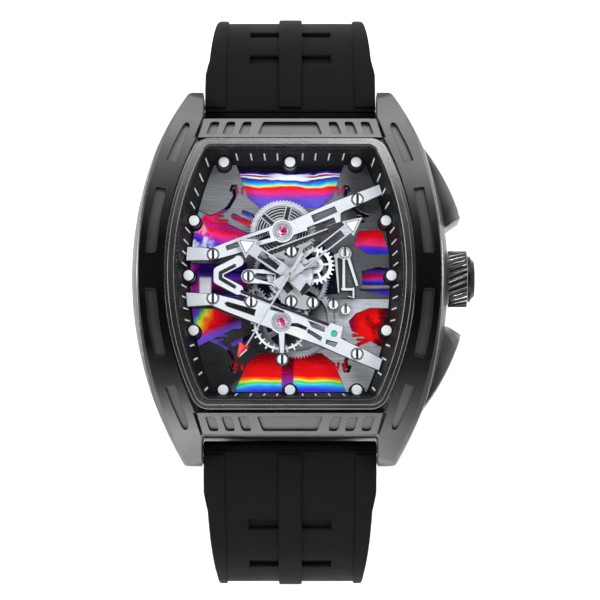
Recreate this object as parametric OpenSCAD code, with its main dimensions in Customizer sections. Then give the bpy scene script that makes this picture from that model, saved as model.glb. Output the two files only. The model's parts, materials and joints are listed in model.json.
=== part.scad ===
// Wristwatch with an open worked dial in a curved barrel-shaped case.
// Dial up is +Z, 12 o'clock is +Y and the crown is on +X. The origin is the
// centre of the outer face of the case back. Millimetres.

/* [Dial opening] */
// Width of the opening inside the chapter ring
dial_w = 27.8; // [27:0.1:28.6]
// Length of the opening from 12 to 6 o'clock
dial_l = 32; // [31.6:0.1:32.6]
// Radius of the curved sides of the opening
dial_side_r = 41; // [38:0.5:46]
// Width of the flat flange of the chapter ring at 3 and 9 o'clock
flange_side = 0.2; // [0.15:0.05:0.4]
// Width of the flat flange of the chapter ring at 12 and 6 o'clock
flange_end = 0.15; // [0.1:0.05:0.3]
// How far the sloping wall of the chapter ring leans outwards at 3 and 9 o'clock
wall_lean = 1.35; // [1:0.05:1.4]
// How far the sloping wall of the chapter ring leans outwards at 12 and 6 o'clock
end_lean = 1.2; // [0.9:0.05:1.3]
// Height of the sloping wall of the chapter ring
wall_h = 5.5; // [5.3:0.1:5.6]

/* [Hour studs and ticks] */
// Distance of the studs at 3 and 9 o'clock from the centre
stud_x = 14.1; // [13.9:0.05:14.2]
// Distance of the studs at 12 and 6 o'clock from the centre
stud_y = 16.0; // [15.8:0.05:16.2]
// Diameter of an hour stud
stud_d = 1.9; // [1.7:0.05:2.1]
// Height of an hour stud
stud_h = 2.5; // [2.3:0.05:2.6]
// Diameter of the luminous dot in a stud
dot_d = 1.45; // [1.2:0.05:1.55]
// Width of a minute tick
tick_w = 0.19; // [0.12:0.01:0.3]
// Turn of the minute ticks on the side walls in degrees
tick_turn = 10; // [0:1:20]

/* [Bezel and crystal] */
// Width of the bezel at 3 and 9 o'clock
bezel_side = 1.4; // [1.1:0.1:1.6]
// Width of the bezel at 12 and 6 o'clock
bezel_end = 1.1; // [0.9:0.1:1.3]
// Radius of the curved sides of the bezel
bezel_side_r = 41; // [38:0.5:46]
// Radius of the bezel's outer corners
bezel_corner = 2.6; // [2:0.1:3.4]
// Radius of the arch of the bezel and crystal, seen from the side
bezel_arch_r = 80; // [76:1:100]
// Height of the middle of the bezel over the case back
bezel_top = 15.6; // [15.4:0.1:16]
// Width of the lower step round the bezel
bezel_step_w = 0.5; // [0.3:0.05:0.6]
// Drop of the lower step under the bezel's top
bezel_step_h = 0.7; // [0.4:0.1:0.9]
// Width of the seal round the crystal
gasket_w = 0.23; // [0.18:0.01:0.28]

/* [Case] */
// Width of a side rail at 3 and 9 o'clock
rail_w = 3.45; // [3.2:0.05:3.6]
// Width of the case flank outside a rail
flank_w = 1.1; // [0.9:0.05:1.3]
// How far the case flank leans inwards at its top
flank_lean = 0.8; // [0.5:0.05:0.85]
// Length of the case from lug tip to lug tip
case_l = 52.6; // [52:0.1:53.4]
// Length of a lug beyond the end plate
lug_len = 4.1; // [3.9:0.05:4.2]
// How far the lower edge of a lug's end is drawn in
lug_lean = 1; // [0.6:0.1:1.1]
// Radius of the curved sides of the case
case_side_r = 50.4; // [48:0.2:53]
// Radius of the outer edge of a rail
rail_side_r = 55.9; // [53:0.2:60]
// Radius of the arch of the case, seen from the side
case_arch_r = 55; // [52:0.5:60]
// Height of the middle of the rails over the case back
rail_top = 14.9; // [14.5:0.1:15.2]
// Thickness of a rail
rail_t = 1.4; // [1.1:0.1:1.6]
// Depth of the pockets in a rail
pocket_d = 0.6; // [0.3:0.05:0.8]
// Width of the pockets in a rail
pocket_w = 1.45; // [1.1:0.05:1.7]
// Height of the lower edge of the case over the case back
case_z0 = 0.9; // [0.6:0.1:1.2]
// Thickness of the case back
back_t = 1.6; // [1.4:0.1:1.7]
// Radius of the window in the case back
back_window_r = 13; // [11:0.5:14]

/* [Strap] */
// Width of the strap between the lugs
strap_w = 24.1; // [23.6:0.1:24.3]
// How much narrower the strap is from the wrist side down
strap_taper = 4.1; // [3.6:0.5:6.1]
// Thickness of the strap away from the case
strap_t = 2.6; // [2.3:0.1:2.8]
// Height of the spring bars over the case back
bar_z = 3.9; // [3.7:0.05:4.1]
// Diameter of a spring bar
bar_d = 1.5; // [1.3:0.05:1.7]
// Radius of the strap's eye round the spring bar
eye_r = 1.5; // [1.4:0.05:1.6]
// Drop from the spring bars to the widest place of the strap
strap_drop = 19; // [18:0.5:20]
// Distance of the buckle's bar from the centre
buckle_y = 8.8; // [8.5:0.1:9.5]
// Radius of the bend from the wrist's side to the underside
loop_r = 27; // [26:0.5:28]
// Length of the flat under each half of the strap
flat_len = 4; // [3.5:0.1:4.2]
// Radius of the curl at the free end of the long half
curl_r = 14; // [13:0.5:14.5]
// Turn of the curl at the free end in degrees
curl_turn = 148; // [120:1:152]
// Diameter of the buckle holes in the strap
hole_d = 2.4; // [2:0.1:2.8]
// Spacing of the buckle holes
hole_step = 6.5; // [6:0.25:7]
// Number of buckle holes
hole_count = 7; // [4:1:7]
// Width of the raised rib along the strap
rib_w = 3.3; // [2.4:0.1:4]
// Height of the raised rib and of the strap's edges
rib_h = 0.5; // [0.2:0.05:0.7]

/* [Buckle] */
// Length of the buckle frame from its bar to its end
buckle_len = 7; // [7:0.25:8.5]
// Thickness of the buckle frame
buckle_t = 2; // [1.6:0.1:2.2]
// Width of the side arms of the buckle
buckle_arm = 1.8; // [1.4:0.1:2.2]
// Width of the buckle tongue
tongue_w = 2; // [1.6:0.1:2.2]
// Width of a keeper along the strap
keeper_w = 4.6; // [3.6:0.2:5.2]

/* [Crown and pushers] */
// Diameter of the knurled part of the crown
crown_d = 7.9; // [7:0.1:8.4]
// Length of the knurled part of the crown
crown_len = 2.6; // [2.2:0.1:3]
// Height of the crown's centre over the case back
crown_z = 6.5; // [6.4:0.05:6.6]
// Diameter of the winding stem
stem_d = 1; // [0.8:0.05:1.2]
// How far the crown pulls out
crown_pull = 1.2; // [0.8:0.1:1.4]
// How far the tip of a pusher stands out from the centre line
pusher_tip_x = 23.8; // [23.4:0.1:24.2]
// Distance of the tip of a pusher from the crown's centre
pusher_tip_y = 8.3; // [7.9:0.1:8.7]
// Travel of a pusher
pusher_travel = 0.8; // [0.5:0.1:0.9]

/* [Movement] */
// Height of the top of the main plate over the case back
plate_z = 7.6; // [7.5:0.05:7.65]
// Thickness of the main plate
plate_t = 0.7; // [0.5:0.05:0.8]
// Height of the top of the film plate over the case back
film_z = 6; // [5.8:0.05:6.1]
// Height of the underside of the bridges over the case back
bridge_z = 9.7; // [9.68:0.01:9.75]
// Thickness of the bridges
bridge_t = 0.5; // [0.35:0.05:0.55]
// Thickness of a train wheel
wheel_t = 0.2; // [0.14:0.01:0.22]
// Radius of the balance rim
balance_r = 3.85; // [3.6:0.05:3.95]
// Radius of the rotor
rotor_r = 12.8; // [11:0.1:13]
// Radius of a jewel
jewel_r = 0.62; // [0.5:0.02:0.7]
// Radius of a bridge screw's head
screw_r = 0.72; // [0.55:0.01:0.8]
// Width of the open ring round a bridge screw's head
screw_ring = 0.1; // [0.04:0.01:0.12]

/* [Hands] */
// Length of the hour hand
hour_len = 9.1; // [8.4:0.1:9.6]
// Length of the minute hand
minute_len = 12.9; // [12.2:0.1:13.2]
// Length of the seconds hand
seconds_len = 13.6; // [13:0.1:13.7]
// Clock angle of the hour hand in degrees from 12
hour_angle = 304.3; // [0:0.1:360]
// Clock angle of the minute hand in degrees from 12
minute_angle = 51.5; // [0:0.1:360]
// Clock angle of the seconds hand in degrees from 12
seconds_angle = 211; // [0:0.1:360]
// Thickness of the hour and minute hands
hand_t = 0.13; // [0.08:0.01:0.16]

/* [Hidden] */
$fn = 72;
fine = 180;
// Clearance between parts that only lie beside each other
gap = 0.05;
// Radial clearance of a shaft that turns in a bore
run = 0.04;
// Clearance between bodies that pass each other
pass = 0.25;

// Sizes across the dial, each built outwards from the last
wall_in_w = dial_w + 2 * flange_side;
wall_in_l = dial_l + 2 * flange_end;
wall_in_r = dial_side_r + flange_side;
wall_out_w = wall_in_w + 2 * wall_lean;
wall_out_l = wall_in_l + 2 * end_lean;
ring_rim = 0.1;
ring_w = wall_out_w + 2 * ring_rim;
ring_l = wall_out_l + 2 * ring_rim;
ring_r = wall_in_r + wall_lean + ring_rim;
ring_z = plate_z + gap;
ring_floor = 0.1;
ring_top = ring_z + ring_floor + wall_h;
ledge = 0.1;
crystal_w = ring_w + 2 * gap + 2 * ledge;
crystal_l = ring_l + 2 * gap + 2 * ledge;
crystal_z = ring_top + gap;
seat_w = crystal_w + 2 * gasket_w;
seat_l = crystal_l + 2 * gasket_w;
bezel_w = seat_w + 2 * bezel_side;
bezel_l = seat_l + 2 * bezel_end;
seat_side_r = bezel_side_r - bezel_side;
seat_corner = bezel_corner - bezel_end;
crystal_sink = 0.2;
crystal_trim = 0.25;
bezel_z = plate_z;

// Sizes of the case, outwards from the bezel
rail_in_w = bezel_w + 2 * gap;
rail_out_w = rail_in_w + 2 * rail_w;
case_w = rail_out_w + 2 * flank_w;
rail_in_r = 45;
plate_gap = 0.35;
end_in_y = bezel_l / 2 + plate_gap;
end_len = case_l / 2 - lug_len - end_in_y;
end_side_gap = 0.15;
end_slant = 0.85;
rail_slant = 1.15;
flank_h = 3;
slot_y = end_in_y + end_len + gap;
slot_w = strap_w + 0.2;
bar_y = slot_y + pass + eye_r;
lug_tip_z = rail_top - case_arch_r + sqrt(pow(case_arch_r, 2) - pow(case_l / 2, 2)) - rail_t;
lug_corner = 1;
back_w = 37.2;
back_l = 41;
back_r = 46;
back_corner = 4;
bay_w = bezel_w - 1.1;
bay_l = bezel_l - 1.1;
bay_r = 43;

// Movement ring and the plates that it holds
mring_z = 3;
mplate_w = ring_w - 1.2;
mplate_l = ring_l - 0.9;
mplate_r = 42;
film_t = 0.6;
film_w = mplate_w - 1.4;
film_l = mplate_l - 1.4;
base_w = film_w - 1.4;
base_l = film_l - 1.4;
bearing_r = 1.6;
rotor_z = 2.2;
rotor_t = 0.5;
rotor_rim_t = 1.3;
auto_z = 4.1;
auto_t = 1.2;

// Places on the dial side, x and y from the centre
barrel_at = [-1.04, 6.25];
balance_at = [-1.18, -6.5];
third_at = [0.9, -5.95];
minute_at = [3.47, 1.53];
escape_at = [-4.83, -3.02];
cock_at = [-1.07, -11.75];
fork_at = [-3.49, -4.3];

// Tooth counts
seconds_z = 10;
third_z = 75;
third_pinion_z = 10;
centre_z = 80;
fourth_z = 80;
escape_pinion_z = 8;
escape_z = 18;
barrel_teeth = 60;
centre_pinion_z = 24;
cannon_z = 12;
minute_z = 26;
minute_pinion_z = 13;
hour_z = 72;

// Gear modules from the centre distances
third_dist = norm(third_at);
third_m = 2 * third_dist / (third_z + seconds_z);
centre_m = 2 * third_dist / (centre_z + third_pinion_z);
escape_dist = norm(escape_at);
fourth_m = 2 * escape_dist / (fourth_z + escape_pinion_z);
barrel_dist = norm(barrel_at);
barrel_m = 2 * barrel_dist / (barrel_teeth + centre_pinion_z);
minute_dist = norm(minute_at);
cannon_m = 2 * minute_dist / (cannon_z + minute_z);
hour_m = 2 * minute_dist / (hour_z + minute_pinion_z);
third_dir = atan2(third_at.y, third_at.x);
escape_dir = atan2(escape_at.y, escape_at.x);
barrel_dir = atan2(barrel_at.y, barrel_at.x);
minute_dir = atan2(minute_at.y, minute_at.x);

// Heights of the train, upwards from the film plate
fourth_wheel_z = plate_z - 0.55;
third_wheel_z = plate_z + 0.1;
centre_wheel_z = third_wheel_z + wheel_t + 0.1;
barrel_z = centre_wheel_z + wheel_t + 0.1;
barrel_h = 0.65;
cannon_z0 = barrel_z + barrel_h + 0.1;
hour_wheel_z = bridge_z - 0.28;
cock_z = centre_wheel_z + wheel_t + 0.25;
escape_z0 = cock_z + 0.18;
balance_z = 8.95;
balance_t = 0.35;
staff_r = 0.16;
arbor_r = 0.3;
fork_len = norm(fork_at - balance_at) - 0.5;
escape_r = 1.6;

// Heights of the hands
hour_hand_z = 10.85;
minute_hand_z = 11.2;
seconds_hand_z = 11.55;

// Room for the bridges inside the chapter ring's wall
bridge_edge = wall_lean * (bridge_z - ring_z - ring_floor) / wall_h - gap;

// Tubes of the hands, one inside the other
seconds_arbor_r = 0.2;
minute_tube_r = 0.42;
hour_tube_r = 0.66;

// Pusher outline
pusher_z0 = 3.2;
pusher_h = 6.4;
pusher_root = [18.85, 17.9];
pusher_back = [21.8, 6.9];
pusher_inner = [20.5, 6.9];
pusher_bulge_r = 32;
pusher_stem_r = 0.8;
pusher_stem_y = 10.5;
pusher_stem_x = 16.5;

// Places of the strap's bends. The outer and inner faces start above and below
// the spring bar and end upright at the widest place.
strap_w_end = strap_w - strap_taper;
flat_y = buckle_y + flat_len;
loop_y = flat_y + loop_r;
bend_z = bar_z - strap_drop;
band_z = bend_z - loop_r;
floor_z = band_z - strap_t / 2;
face_y = 0.7;
face_z = 2;

// Louvres of the strap: their angles above the bend, and their size
louvre_at_12 = [53.3, 35.7];
louvre_at_6 = [48.2, 25];
louvre_w = 1.7;
louvre_l = 4.1;
louvre_deep = 0.8;
outer_face_r = face_r(loop_y + strap_t / 2 - bar_y + face_y, strap_drop + face_z);
inner_face_r = face_r(loop_y - strap_t / 2 - bar_y - face_y, strap_drop - face_z);
outer_face_y = loop_y + strap_t / 2 - outer_face_r;
inner_face_y = loop_y - strap_t / 2 - inner_face_r;
bar_reach = strap_w / 2 + 1.5;
buckle_bar_r = 0.9;
through = 40;
buckle_in_w = strap_w_end + 0.6;
keeper_t = 0.9;
keeper_room = 0.3;
keeper_pocket = strap_t + 0.5;
fixed_keeper_a = -52;
sliding_keeper_a = -34;

// Radius of an arc that runs a given way across and down and ends upright
function face_r(run, drop) = (run * run + drop * drop) / (2 * run);

// Corner points of an outline with each corner rounded by two short edges
function rounded(pts, r) = [for (i = [0 : len(pts) - 1])
  let(p = pts[i], a = pts[(i + len(pts) - 1) % len(pts)], b = pts[(i + 1) % len(pts)],
      u = (a - p) / norm(a - p), v = (b - p) / norm(b - p))
  each [p + r * u, p + 0.293 * r * (u + v), p + r * v]];

// Barrel-shaped outline: two big arcs, cut at the ends, with rounded corners.
// The corner circles are a hair larger than tangent, so the arcs cross cleanly.
module tonneau(w, l, r, c = 0) {
  hair = 0.01;
  cx = w / 2 - r;
  y0 = l / 2 - c;
  x0 = cx + sqrt(pow(r - c, 2) - pow(y0, 2));
  band = c > 0 ? 2 * y0 * r / (r - c) : l;
  intersection() {
    translate([cx, 0]) circle(r, $fn = fine);
    translate([-cx, 0]) circle(r, $fn = fine);
    square([w, band], center = true);
  }
  if (c > 0) {
    square([2 * x0, l], center = true);
    for (sx = [-1, 1], sy = [-1, 1]) translate([sx * x0, sy * y0]) circle(c + hair);
  }
}

// Barrel-shaped outline whose corners are cut off square to their bisector
module cut_tonneau(w, l, r, trim) {
  xc = w / 2 - r + sqrt(pow(r, 2) - pow(l / 2, 2));
  a = 45 + asin(l / 2 / r) / 2;
  difference() {
    tonneau(w, l, r);
    for (sx = [-1, 1], sy = [-1, 1]) scale([sx, sy])
      translate([xc - trim * cos(a), l / 2 - trim * sin(a)]) rotate(a) translate([0, -2]) square(4);
  }
}

// Extrudes a flat shape from one height to another
module slab(z0, z1) {
  translate([0, 0, z0]) linear_extrude(z1 - z0) children();
}

// Cylinder along X whose highest line is at the given height
module arch(r, top) {
  translate([-40, 0, top - r]) rotate([0, 90, 0]) cylinder(r = r, h = 80, $fn = fine);
}

// Space inside the chapter ring's sloping wall, drawn in by a margin
module dial_space(margin) {
  r0 = wall_in_r - margin;
  r1 = wall_in_r + wall_lean - margin;
  cx = wall_in_w / 2 - wall_in_r;
  y0 = wall_in_l / 2 - margin;
  z0 = ring_z + ring_floor;
  intersection() {
    for (s = [-1, 1]) intersection() {
      translate([s * cx, 0, z0]) cylinder(h = wall_h, r1 = r0, r2 = r1, $fn = fine);
      translate([-s * cx, 0, z0]) cylinder(h = wall_h, r1 = r0, r2 = r1, $fn = fine);
    }
    translate([20, 0, 0]) rotate([90, 0, -90]) linear_extrude(40)
      polygon([[-y0, z0], [y0, z0], [y0 + end_lean, z0 + wall_h], [-y0 - end_lean, z0 + wall_h]]);
  }
}

// Round-ended bar between two points in the plane
module strip(p, q, w) {
  translate(p) rotate(atan2(q.y - p.y, q.x - p.x)) {
    translate([0, -w / 2]) square([norm(q - p), w]);
    circle(d = w);
    translate([norm(q - p), 0]) circle(d = w);
  }
}

// Bar between two points that changes width
module taper(p, q, w1, w2) {
  translate(p) rotate(atan2(q.y - p.y, q.x - p.x))
    polygon([[0, -w1 / 2], [norm(q - p), -w2 / 2], [norm(q - p), w2 / 2], [0, w1 / 2]]);
}

// Places a copy of the children at each point of a list
module at_each(points) {
  for (p = points) translate(p) children();
}

// Flat gear outline with straight-sided teeth, one tooth centred on a phase angle
module gear(z, m, phase = 0, back = 0.22) {
  rp = z * m / 2;
  rt = rp + 0.85 * m;
  rr = rp - 1.1 * m;
  step = 360 / z;
  half = (0.25 - back / 4) * step;
  polygon([for (i = [0 : z - 1], k = [-1, -0.42, 0.42, 1])
    let(a = phase + i * step + (abs(k) == 1 ? k * 1.45 * half : k * half * 1.15),
        r = abs(k) == 1 ? rr : rt) [r * cos(a), r * sin(a)]]);
}

// Phase that puts a gear's gap where its neighbour's tooth is
function mesh_phase(phase, z, z2, dir) = dir + 180 + (dir - phase) * z / z2 + 180 / z2;

// Wheel with a rim, spokes and a hub
module spoked(z, m, phase, rim, hub_r, spokes, spoke_w) {
  rr = z * m / 2 - 1.1 * m - rim;
  difference() {
    gear(z, m, phase);
    difference() {
      circle(rr);
      circle(hub_r);
      for (i = [0 : spokes - 1]) rotate(i * 360 / spokes + phase)
        translate([0, -spoke_w / 2]) square([rr + rim / 2, spoke_w]);
    }
  }
}

// Whole case seen from above, with its lugs
module case_outline() {
  difference() {
    tonneau(case_w, case_l, case_side_r, lug_corner);
    for (s = [-1, 1]) translate([-slot_w / 2, s > 0 ? slot_y : -slot_y - 10]) square([slot_w, 10]);
  }
}

// Pusher outline for the upper right side, from above
module pusher_2d(extra = 0) {
  tip = [pusher_tip_x, pusher_tip_y];
  mid = (pusher_root + tip) / 2;
  half = norm(tip - pusher_root) / 2;
  u = (tip - pusher_root) / (2 * half);
  c = mid + [u.y, -u.x] * -1 * sqrt(pow(pusher_bulge_r, 2) - half * half) * -1;
  intersection() {
    translate(c) circle(pusher_bulge_r + extra, $fn = fine);
    polygon([pusher_root + [-0.75 - extra, 0.4 + 2 * extra], pusher_root + [2, 0.4 + 2 * extra],
      tip + [2, 0], tip + [extra, -0.25 * extra], pusher_back + [extra, -extra],
      pusher_inner + [-extra, -extra], pusher_root + [-0.75 - extra, -1]]);
  }
}

// Space between two cones that make the case flanks lean inwards at their top
module flank_space() {
  k = flank_lean / flank_h;
  low = rail_top - rail_t - flank_h;
  r = case_side_r;
  x = case_w / 2 - case_side_r;
  intersection() {
    translate([x, 0, low - 12]) cylinder(h = 20, r1 = r + 12 * k, r2 = r - 8 * k, $fn = fine);
    translate([-x, 0, low - 12]) cylinder(h = 20, r1 = r + 12 * k, r2 = r - 8 * k, $fn = fine);
  }
}

module mid_case() {
  lean = lug_lean / (lug_tip_z - case_z0);
  foot = case_l / 2 - lug_lean;
  color([0.2, 0.2, 0.21]) difference() {
    intersection() {
      slab(case_z0, rail_top) case_outline();
      arch(case_arch_r - rail_t, rail_top - rail_t);
      flank_space();
      across(-through, through) polygon([[-foot + lean, case_z0 - 1], [foot - lean, case_z0 - 1],
        [foot + 20 * lean, case_z0 + 20], [-foot - 20 * lean, case_z0 + 20]]);
    }
    slab(-1, back_t) tonneau(back_w + 2 * gap, back_l + 2 * gap, back_r, back_corner);
    slab(back_t - 1, bezel_z) tonneau(bay_w, bay_l, bay_r);
    slab(bezel_z, bezel_top) tonneau(bezel_w + 2 * gap, bezel_l + 2 * gap, bezel_side_r, bezel_corner);
    for (s = [-1, 1]) translate([-bar_reach - 0.2, s * bar_y, bar_z])
      rotate([0, 90, 0]) cylinder(d = bar_d + 2 * run, h = 2 * bar_reach + 0.4);
    translate([10, 0, crown_z]) rotate([0, 90, 0]) cylinder(r = tube_r + run / 2, h = 20);
    for (s = [-1, 1]) scale([1, s, 1]) {
      for (t = [0, 0.5, 1]) translate([-t * pusher_travel, 0, 0])
        slab(pusher_z0 - pass / 2, pusher_z0 + pusher_h + pass / 2) pusher_2d(pass / 2);
      translate([12, pusher_stem_y, crown_z]) rotate([0, 90, 0])
        cylinder(r = pusher_stem_r + run, h = 12);
    }
  }
}

// Screws round the case back, set in from its outline
back_screw_r = 0.95;
back_shank_r = 0.5;
back_screw_in = 2.2;
back_screw_y = back_l / 2 - 5.1;
back_screws = [for (x = [-1, 1], y = [-1, 0, 1])
  [x * (back_w / 2 - back_screw_in - (y == 0 ? 0 : 3)), y * back_screw_y]];

module case_back() {
  color([0.32, 0.32, 0.34]) difference() {
    slab(0, back_t) tonneau(back_w, back_l, back_r, back_corner);
    translate([0, 0, -1]) cylinder(r = back_window_r, h = 5);
    translate([0, 0, -1]) cylinder(r = back_window_r + 0.8, h = 1 + back_t / 2);
    for (p = back_screws) translate([p.x, p.y, 0]) {
      translate([0, 0, -1]) cylinder(r = back_screw_r + run, h = 1 + back_t / 2);
      translate([0, 0, -1]) cylinder(r = back_shank_r + run, h = 1 + through);
    }
  }
}

module case_back_screws() {
  color([0.5, 0.5, 0.52]) for (p = back_screws) translate([p.x, p.y, 0]) difference() {
    union() {
      translate([0, 0, 0.15]) cylinder(r = back_screw_r, h = back_t / 2 - 0.15);
      translate([0, 0, 0.15]) cylinder(r = back_shank_r, h = back_t - 0.2);
    }
    translate([-back_screw_r - 1, -0.12, 0]) cube([2 * back_screw_r + 2, 0.24, 0.4]);
  }
}

module case_back_gasket() {
  color([0.05, 0.05, 0.05]) slab(back_t + 0.02, back_t + 0.42) difference() {
    tonneau(bay_w - 0.2, bay_l - 0.2, bay_r);
    tonneau(bay_w - 1.4, bay_l - 1.4, bay_r);
  }
}

module back_crystal() {
  color([0.8, 0.85, 0.9, 0.4]) cylinder(r = back_window_r + 0.8 - gap, h = back_t / 2 - 0.02);
}

// Outline of the right-hand rail from above
module rail_2d() {
  inner_x = rail_in_w / 2;
  neck_x = slot_w / 2 + 0.05;
  difference() {
    tonneau(rail_out_w, case_l, rail_side_r, lug_corner);
    tonneau(rail_in_w, 2 * (end_in_y + 0.2), rail_in_r);
    translate([-30, -30]) square([30 + neck_x, 60]);
    for (s = [-1, 1]) scale([1, s]) polygon([[0, end_in_y], [neck_x, end_in_y],
      [neck_x + rail_slant, end_in_y], [neck_x, slot_y + 0.3]]);
  }
}

// Pocket outlines of the right-hand rail
module rail_pockets() {
  x = rail_in_w / 2 + rail_w / 2;
  h = pocket_w / 2;
  for (s = [-1, 1]) scale([1, s]) {
    polygon(rounded([[x + 0.05 + h, 2.5], [x + 0.05 - h, 2.5], [x - 0.45 - h, 7.2], [x - 1.33 - h, 11.65],
      [x - 1.33 + h, 11.95], [x - 0.4 + h, 7.2]], 0.25));
    polygon(rounded([[x - 1.94, 15.8], [x - 3.3, 15.5], [x - 4.1, 17.8], [x - 5.1, 20.9], [x - 5, 21.5],
      [x - 4.6, 21.6], [x - 4.2, 21.2], [x - 2.9, 18.4]], 0.2));
  }
}

module rail(side) {
  color([0.08, 0.08, 0.09]) scale([side, 1, 1]) difference() {
    intersection() {
      slab(0, rail_top + 1) rail_2d();
      arch(case_arch_r, rail_top);
    }
    arch(case_arch_r - rail_t, rail_top - rail_t);
    difference() {
      slab(0, rail_top + 2) rail_pockets();
      arch(case_arch_r - pocket_d, rail_top - pocket_d);
    }
  }
}

// Decorative cover between the bezel and the strap
module end_plate(side) {
  y1 = end_in_y + end_len;
  neck_x = slot_w / 2 - end_side_gap;
  low = end_in_y + 0.5;
  high = end_in_y + end_len - 0.5;
  color([0.42, 0.42, 0.43]) scale([1, side, 1]) difference() {
    intersection() {
      slab(0, rail_top) polygon([[-neck_x - end_slant, end_in_y], [neck_x + end_slant, end_in_y],
        [neck_x, y1], [-neck_x, y1]]);
      arch(case_arch_r - 0.15, rail_top - 0.15);
    }
    arch(case_arch_r - rail_t, rail_top - rail_t);
    difference() {
      slab(0, rail_top) {
        polygon(rounded([[-4.5, low], [4.5, low], [3.75, high], [-3.75, high]], 0.25));
        for (s = [-1, 1], x = [6.25, 8.5, 10.75]) scale([s, 1])
          polygon(rounded([[x - 0.35, low], [x + 0.95, low], [x + 0.3, high], [x - 0.95, high]], 0.3));
      }
      arch(case_arch_r - 0.15 - pocket_d, rail_top - 0.15 - pocket_d);
    }
  }
}

module bezel() {
  color([0.35, 0.35, 0.36]) difference() {
    intersection() {
      slab(bezel_z, bezel_top) tonneau(bezel_w, bezel_l, bezel_side_r, bezel_corner);
      arch(bezel_arch_r, bezel_top);
    }
    difference() {
      slab(bezel_z, bezel_top + 1) difference() {
        tonneau(bezel_w + 2, bezel_l + 2, bezel_side_r + 1, bezel_corner + 1);
        tonneau(bezel_w - 2 * bezel_step_w, bezel_l - 2 * bezel_step_w, bezel_side_r - bezel_step_w,
          bezel_corner - bezel_step_w);
      }
      arch(bezel_arch_r - bezel_step_h, bezel_top - bezel_step_h);
    }
    slab(crystal_z, bezel_top + 1) tonneau(seat_w, seat_l, seat_side_r, seat_corner);
    slab(bezel_z - 1, bezel_top + 1) tonneau(ring_w + 2 * gap, ring_l + 2 * gap, ring_r);
  }
}

module crystal() {
  color([0.8, 0.9, 1, 0.25]) intersection() {
    slab(crystal_z, bezel_top) cut_tonneau(crystal_w, crystal_l, seat_side_r - gasket_w, crystal_trim);
    arch(bezel_arch_r, bezel_top - crystal_sink);
  }
}

module crystal_gasket() {
  color([0.03, 0.03, 0.03]) slab(crystal_z, crystal_z + 0.35) difference() {
    tonneau(seat_w - 0.02, seat_l - 0.02, seat_side_r, seat_corner);
    cut_tonneau(crystal_w + 0.02, crystal_l + 0.02, seat_side_r - gasket_w, crystal_trim);
  }
}

// Distance from the centre to a barrel outline at a clock angle
function outline_r(a, w, l, r) =
  min(abs(l / 2 / max(abs(cos(a)), 0.001)),
      (w / 2 - r) * abs(sin(a)) + sqrt(r * r - pow((w / 2 - r) * cos(a), 2)));

// Place of the stud at each hour
stud_at = [for (h = [0 : 11]) let(a = 30 * h, d = outline_r(a, 2 * stud_x, 2 * stud_y, dial_side_r))
  [d * sin(a), d * cos(a)]];

module chapter_ring() {
  lobe_r = stud_d / 2 + 0.2;
  color([0.07, 0.07, 0.08]) difference() {
    union() {
      slab(ring_z, ring_top) difference() {
        tonneau(ring_w, ring_l, ring_r);
        tonneau(wall_in_w, wall_in_l, wall_in_r);
      }
      slab(ring_z, ring_z + ring_floor) difference() {
        tonneau(ring_w - 1, ring_l - 1, ring_r);
        difference() {
          tonneau(dial_w, dial_l, dial_side_r);
          at_each(stud_at) circle(lobe_r);
        }
      }
    }
    dial_space(0);
    for (p = stud_at) translate([p.x, p.y, ring_z + ring_floor])
      cylinder(r = stud_d / 2 + 0.02, h = wall_h + 1);
  }
}

// Turn of a minute tick about its place on the wall: the ticks between 1 and 4
// and between 8 and 11 o'clock rise outwards, the lower corner ones fall
function tick_tilt(i) = i < 6 || i > 54 || (i > 24 && i < 36) ? 0
  : (i < 30 ? 1 : -1) * (i > 20 && i < 40 ? -1 : 1) * tick_turn;

module minute_ticks() {
  z0 = ring_z + ring_floor + 0.27 * wall_h;
  part = 0.48;
  color("white") intersection() {
    difference() {
      dial_space(0.02);
      dial_space(0.08);
    }
    union() for (i = [0 : 59]) if (i % 5 > 0) rotate([0, 0, -6 * i])
      translate([0, outline_r(6 * i, wall_in_w + 2 * part * wall_lean, wall_in_l + 2 * part * end_lean,
        wall_in_r + part * wall_lean), z0]) rotate([0, 0, tick_tilt(i)])
        translate([-tick_w / 2, -1.5, 0]) cube([tick_w, 3, 0.42 * wall_h]);
  }
}

module hour_studs() {
  z0 = ring_z + ring_floor;
  color([0.04, 0.04, 0.04]) for (p = stud_at) translate([p.x, p.y, z0]) difference() {
    cylinder(d = stud_d, h = stud_h);
    translate([0, 0, stud_h - 0.2]) cylinder(d = dot_d + 0.04, h = 1);
  }
}

module lume_dots() {
  z0 = ring_z + ring_floor + stud_h - 0.19;
  color([0.95, 0.95, 0.93]) for (p = stud_at) translate([p.x, p.y, z0]) cylinder(d = dot_d, h = 0.26);
}

// Crown tube pressed into the case wall
tube_r = 1.5;
tube_x0 = 17.6;

module crown_tube() {
  x1 = case_w / 2 - 0.05;
  color([0.5, 0.5, 0.52]) translate([tube_x0, 0, crown_z]) rotate([0, 90, 0]) difference() {
    cylinder(r = tube_r, h = x1 - tube_x0);
    translate([0, 0, -1]) cylinder(r = stem_d / 2 + 0.3, h = 10);
  }
}

// Knurled crown with slanted flutes and a stepped cap
crown_x = case_w / 2 + 0.15;

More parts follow.
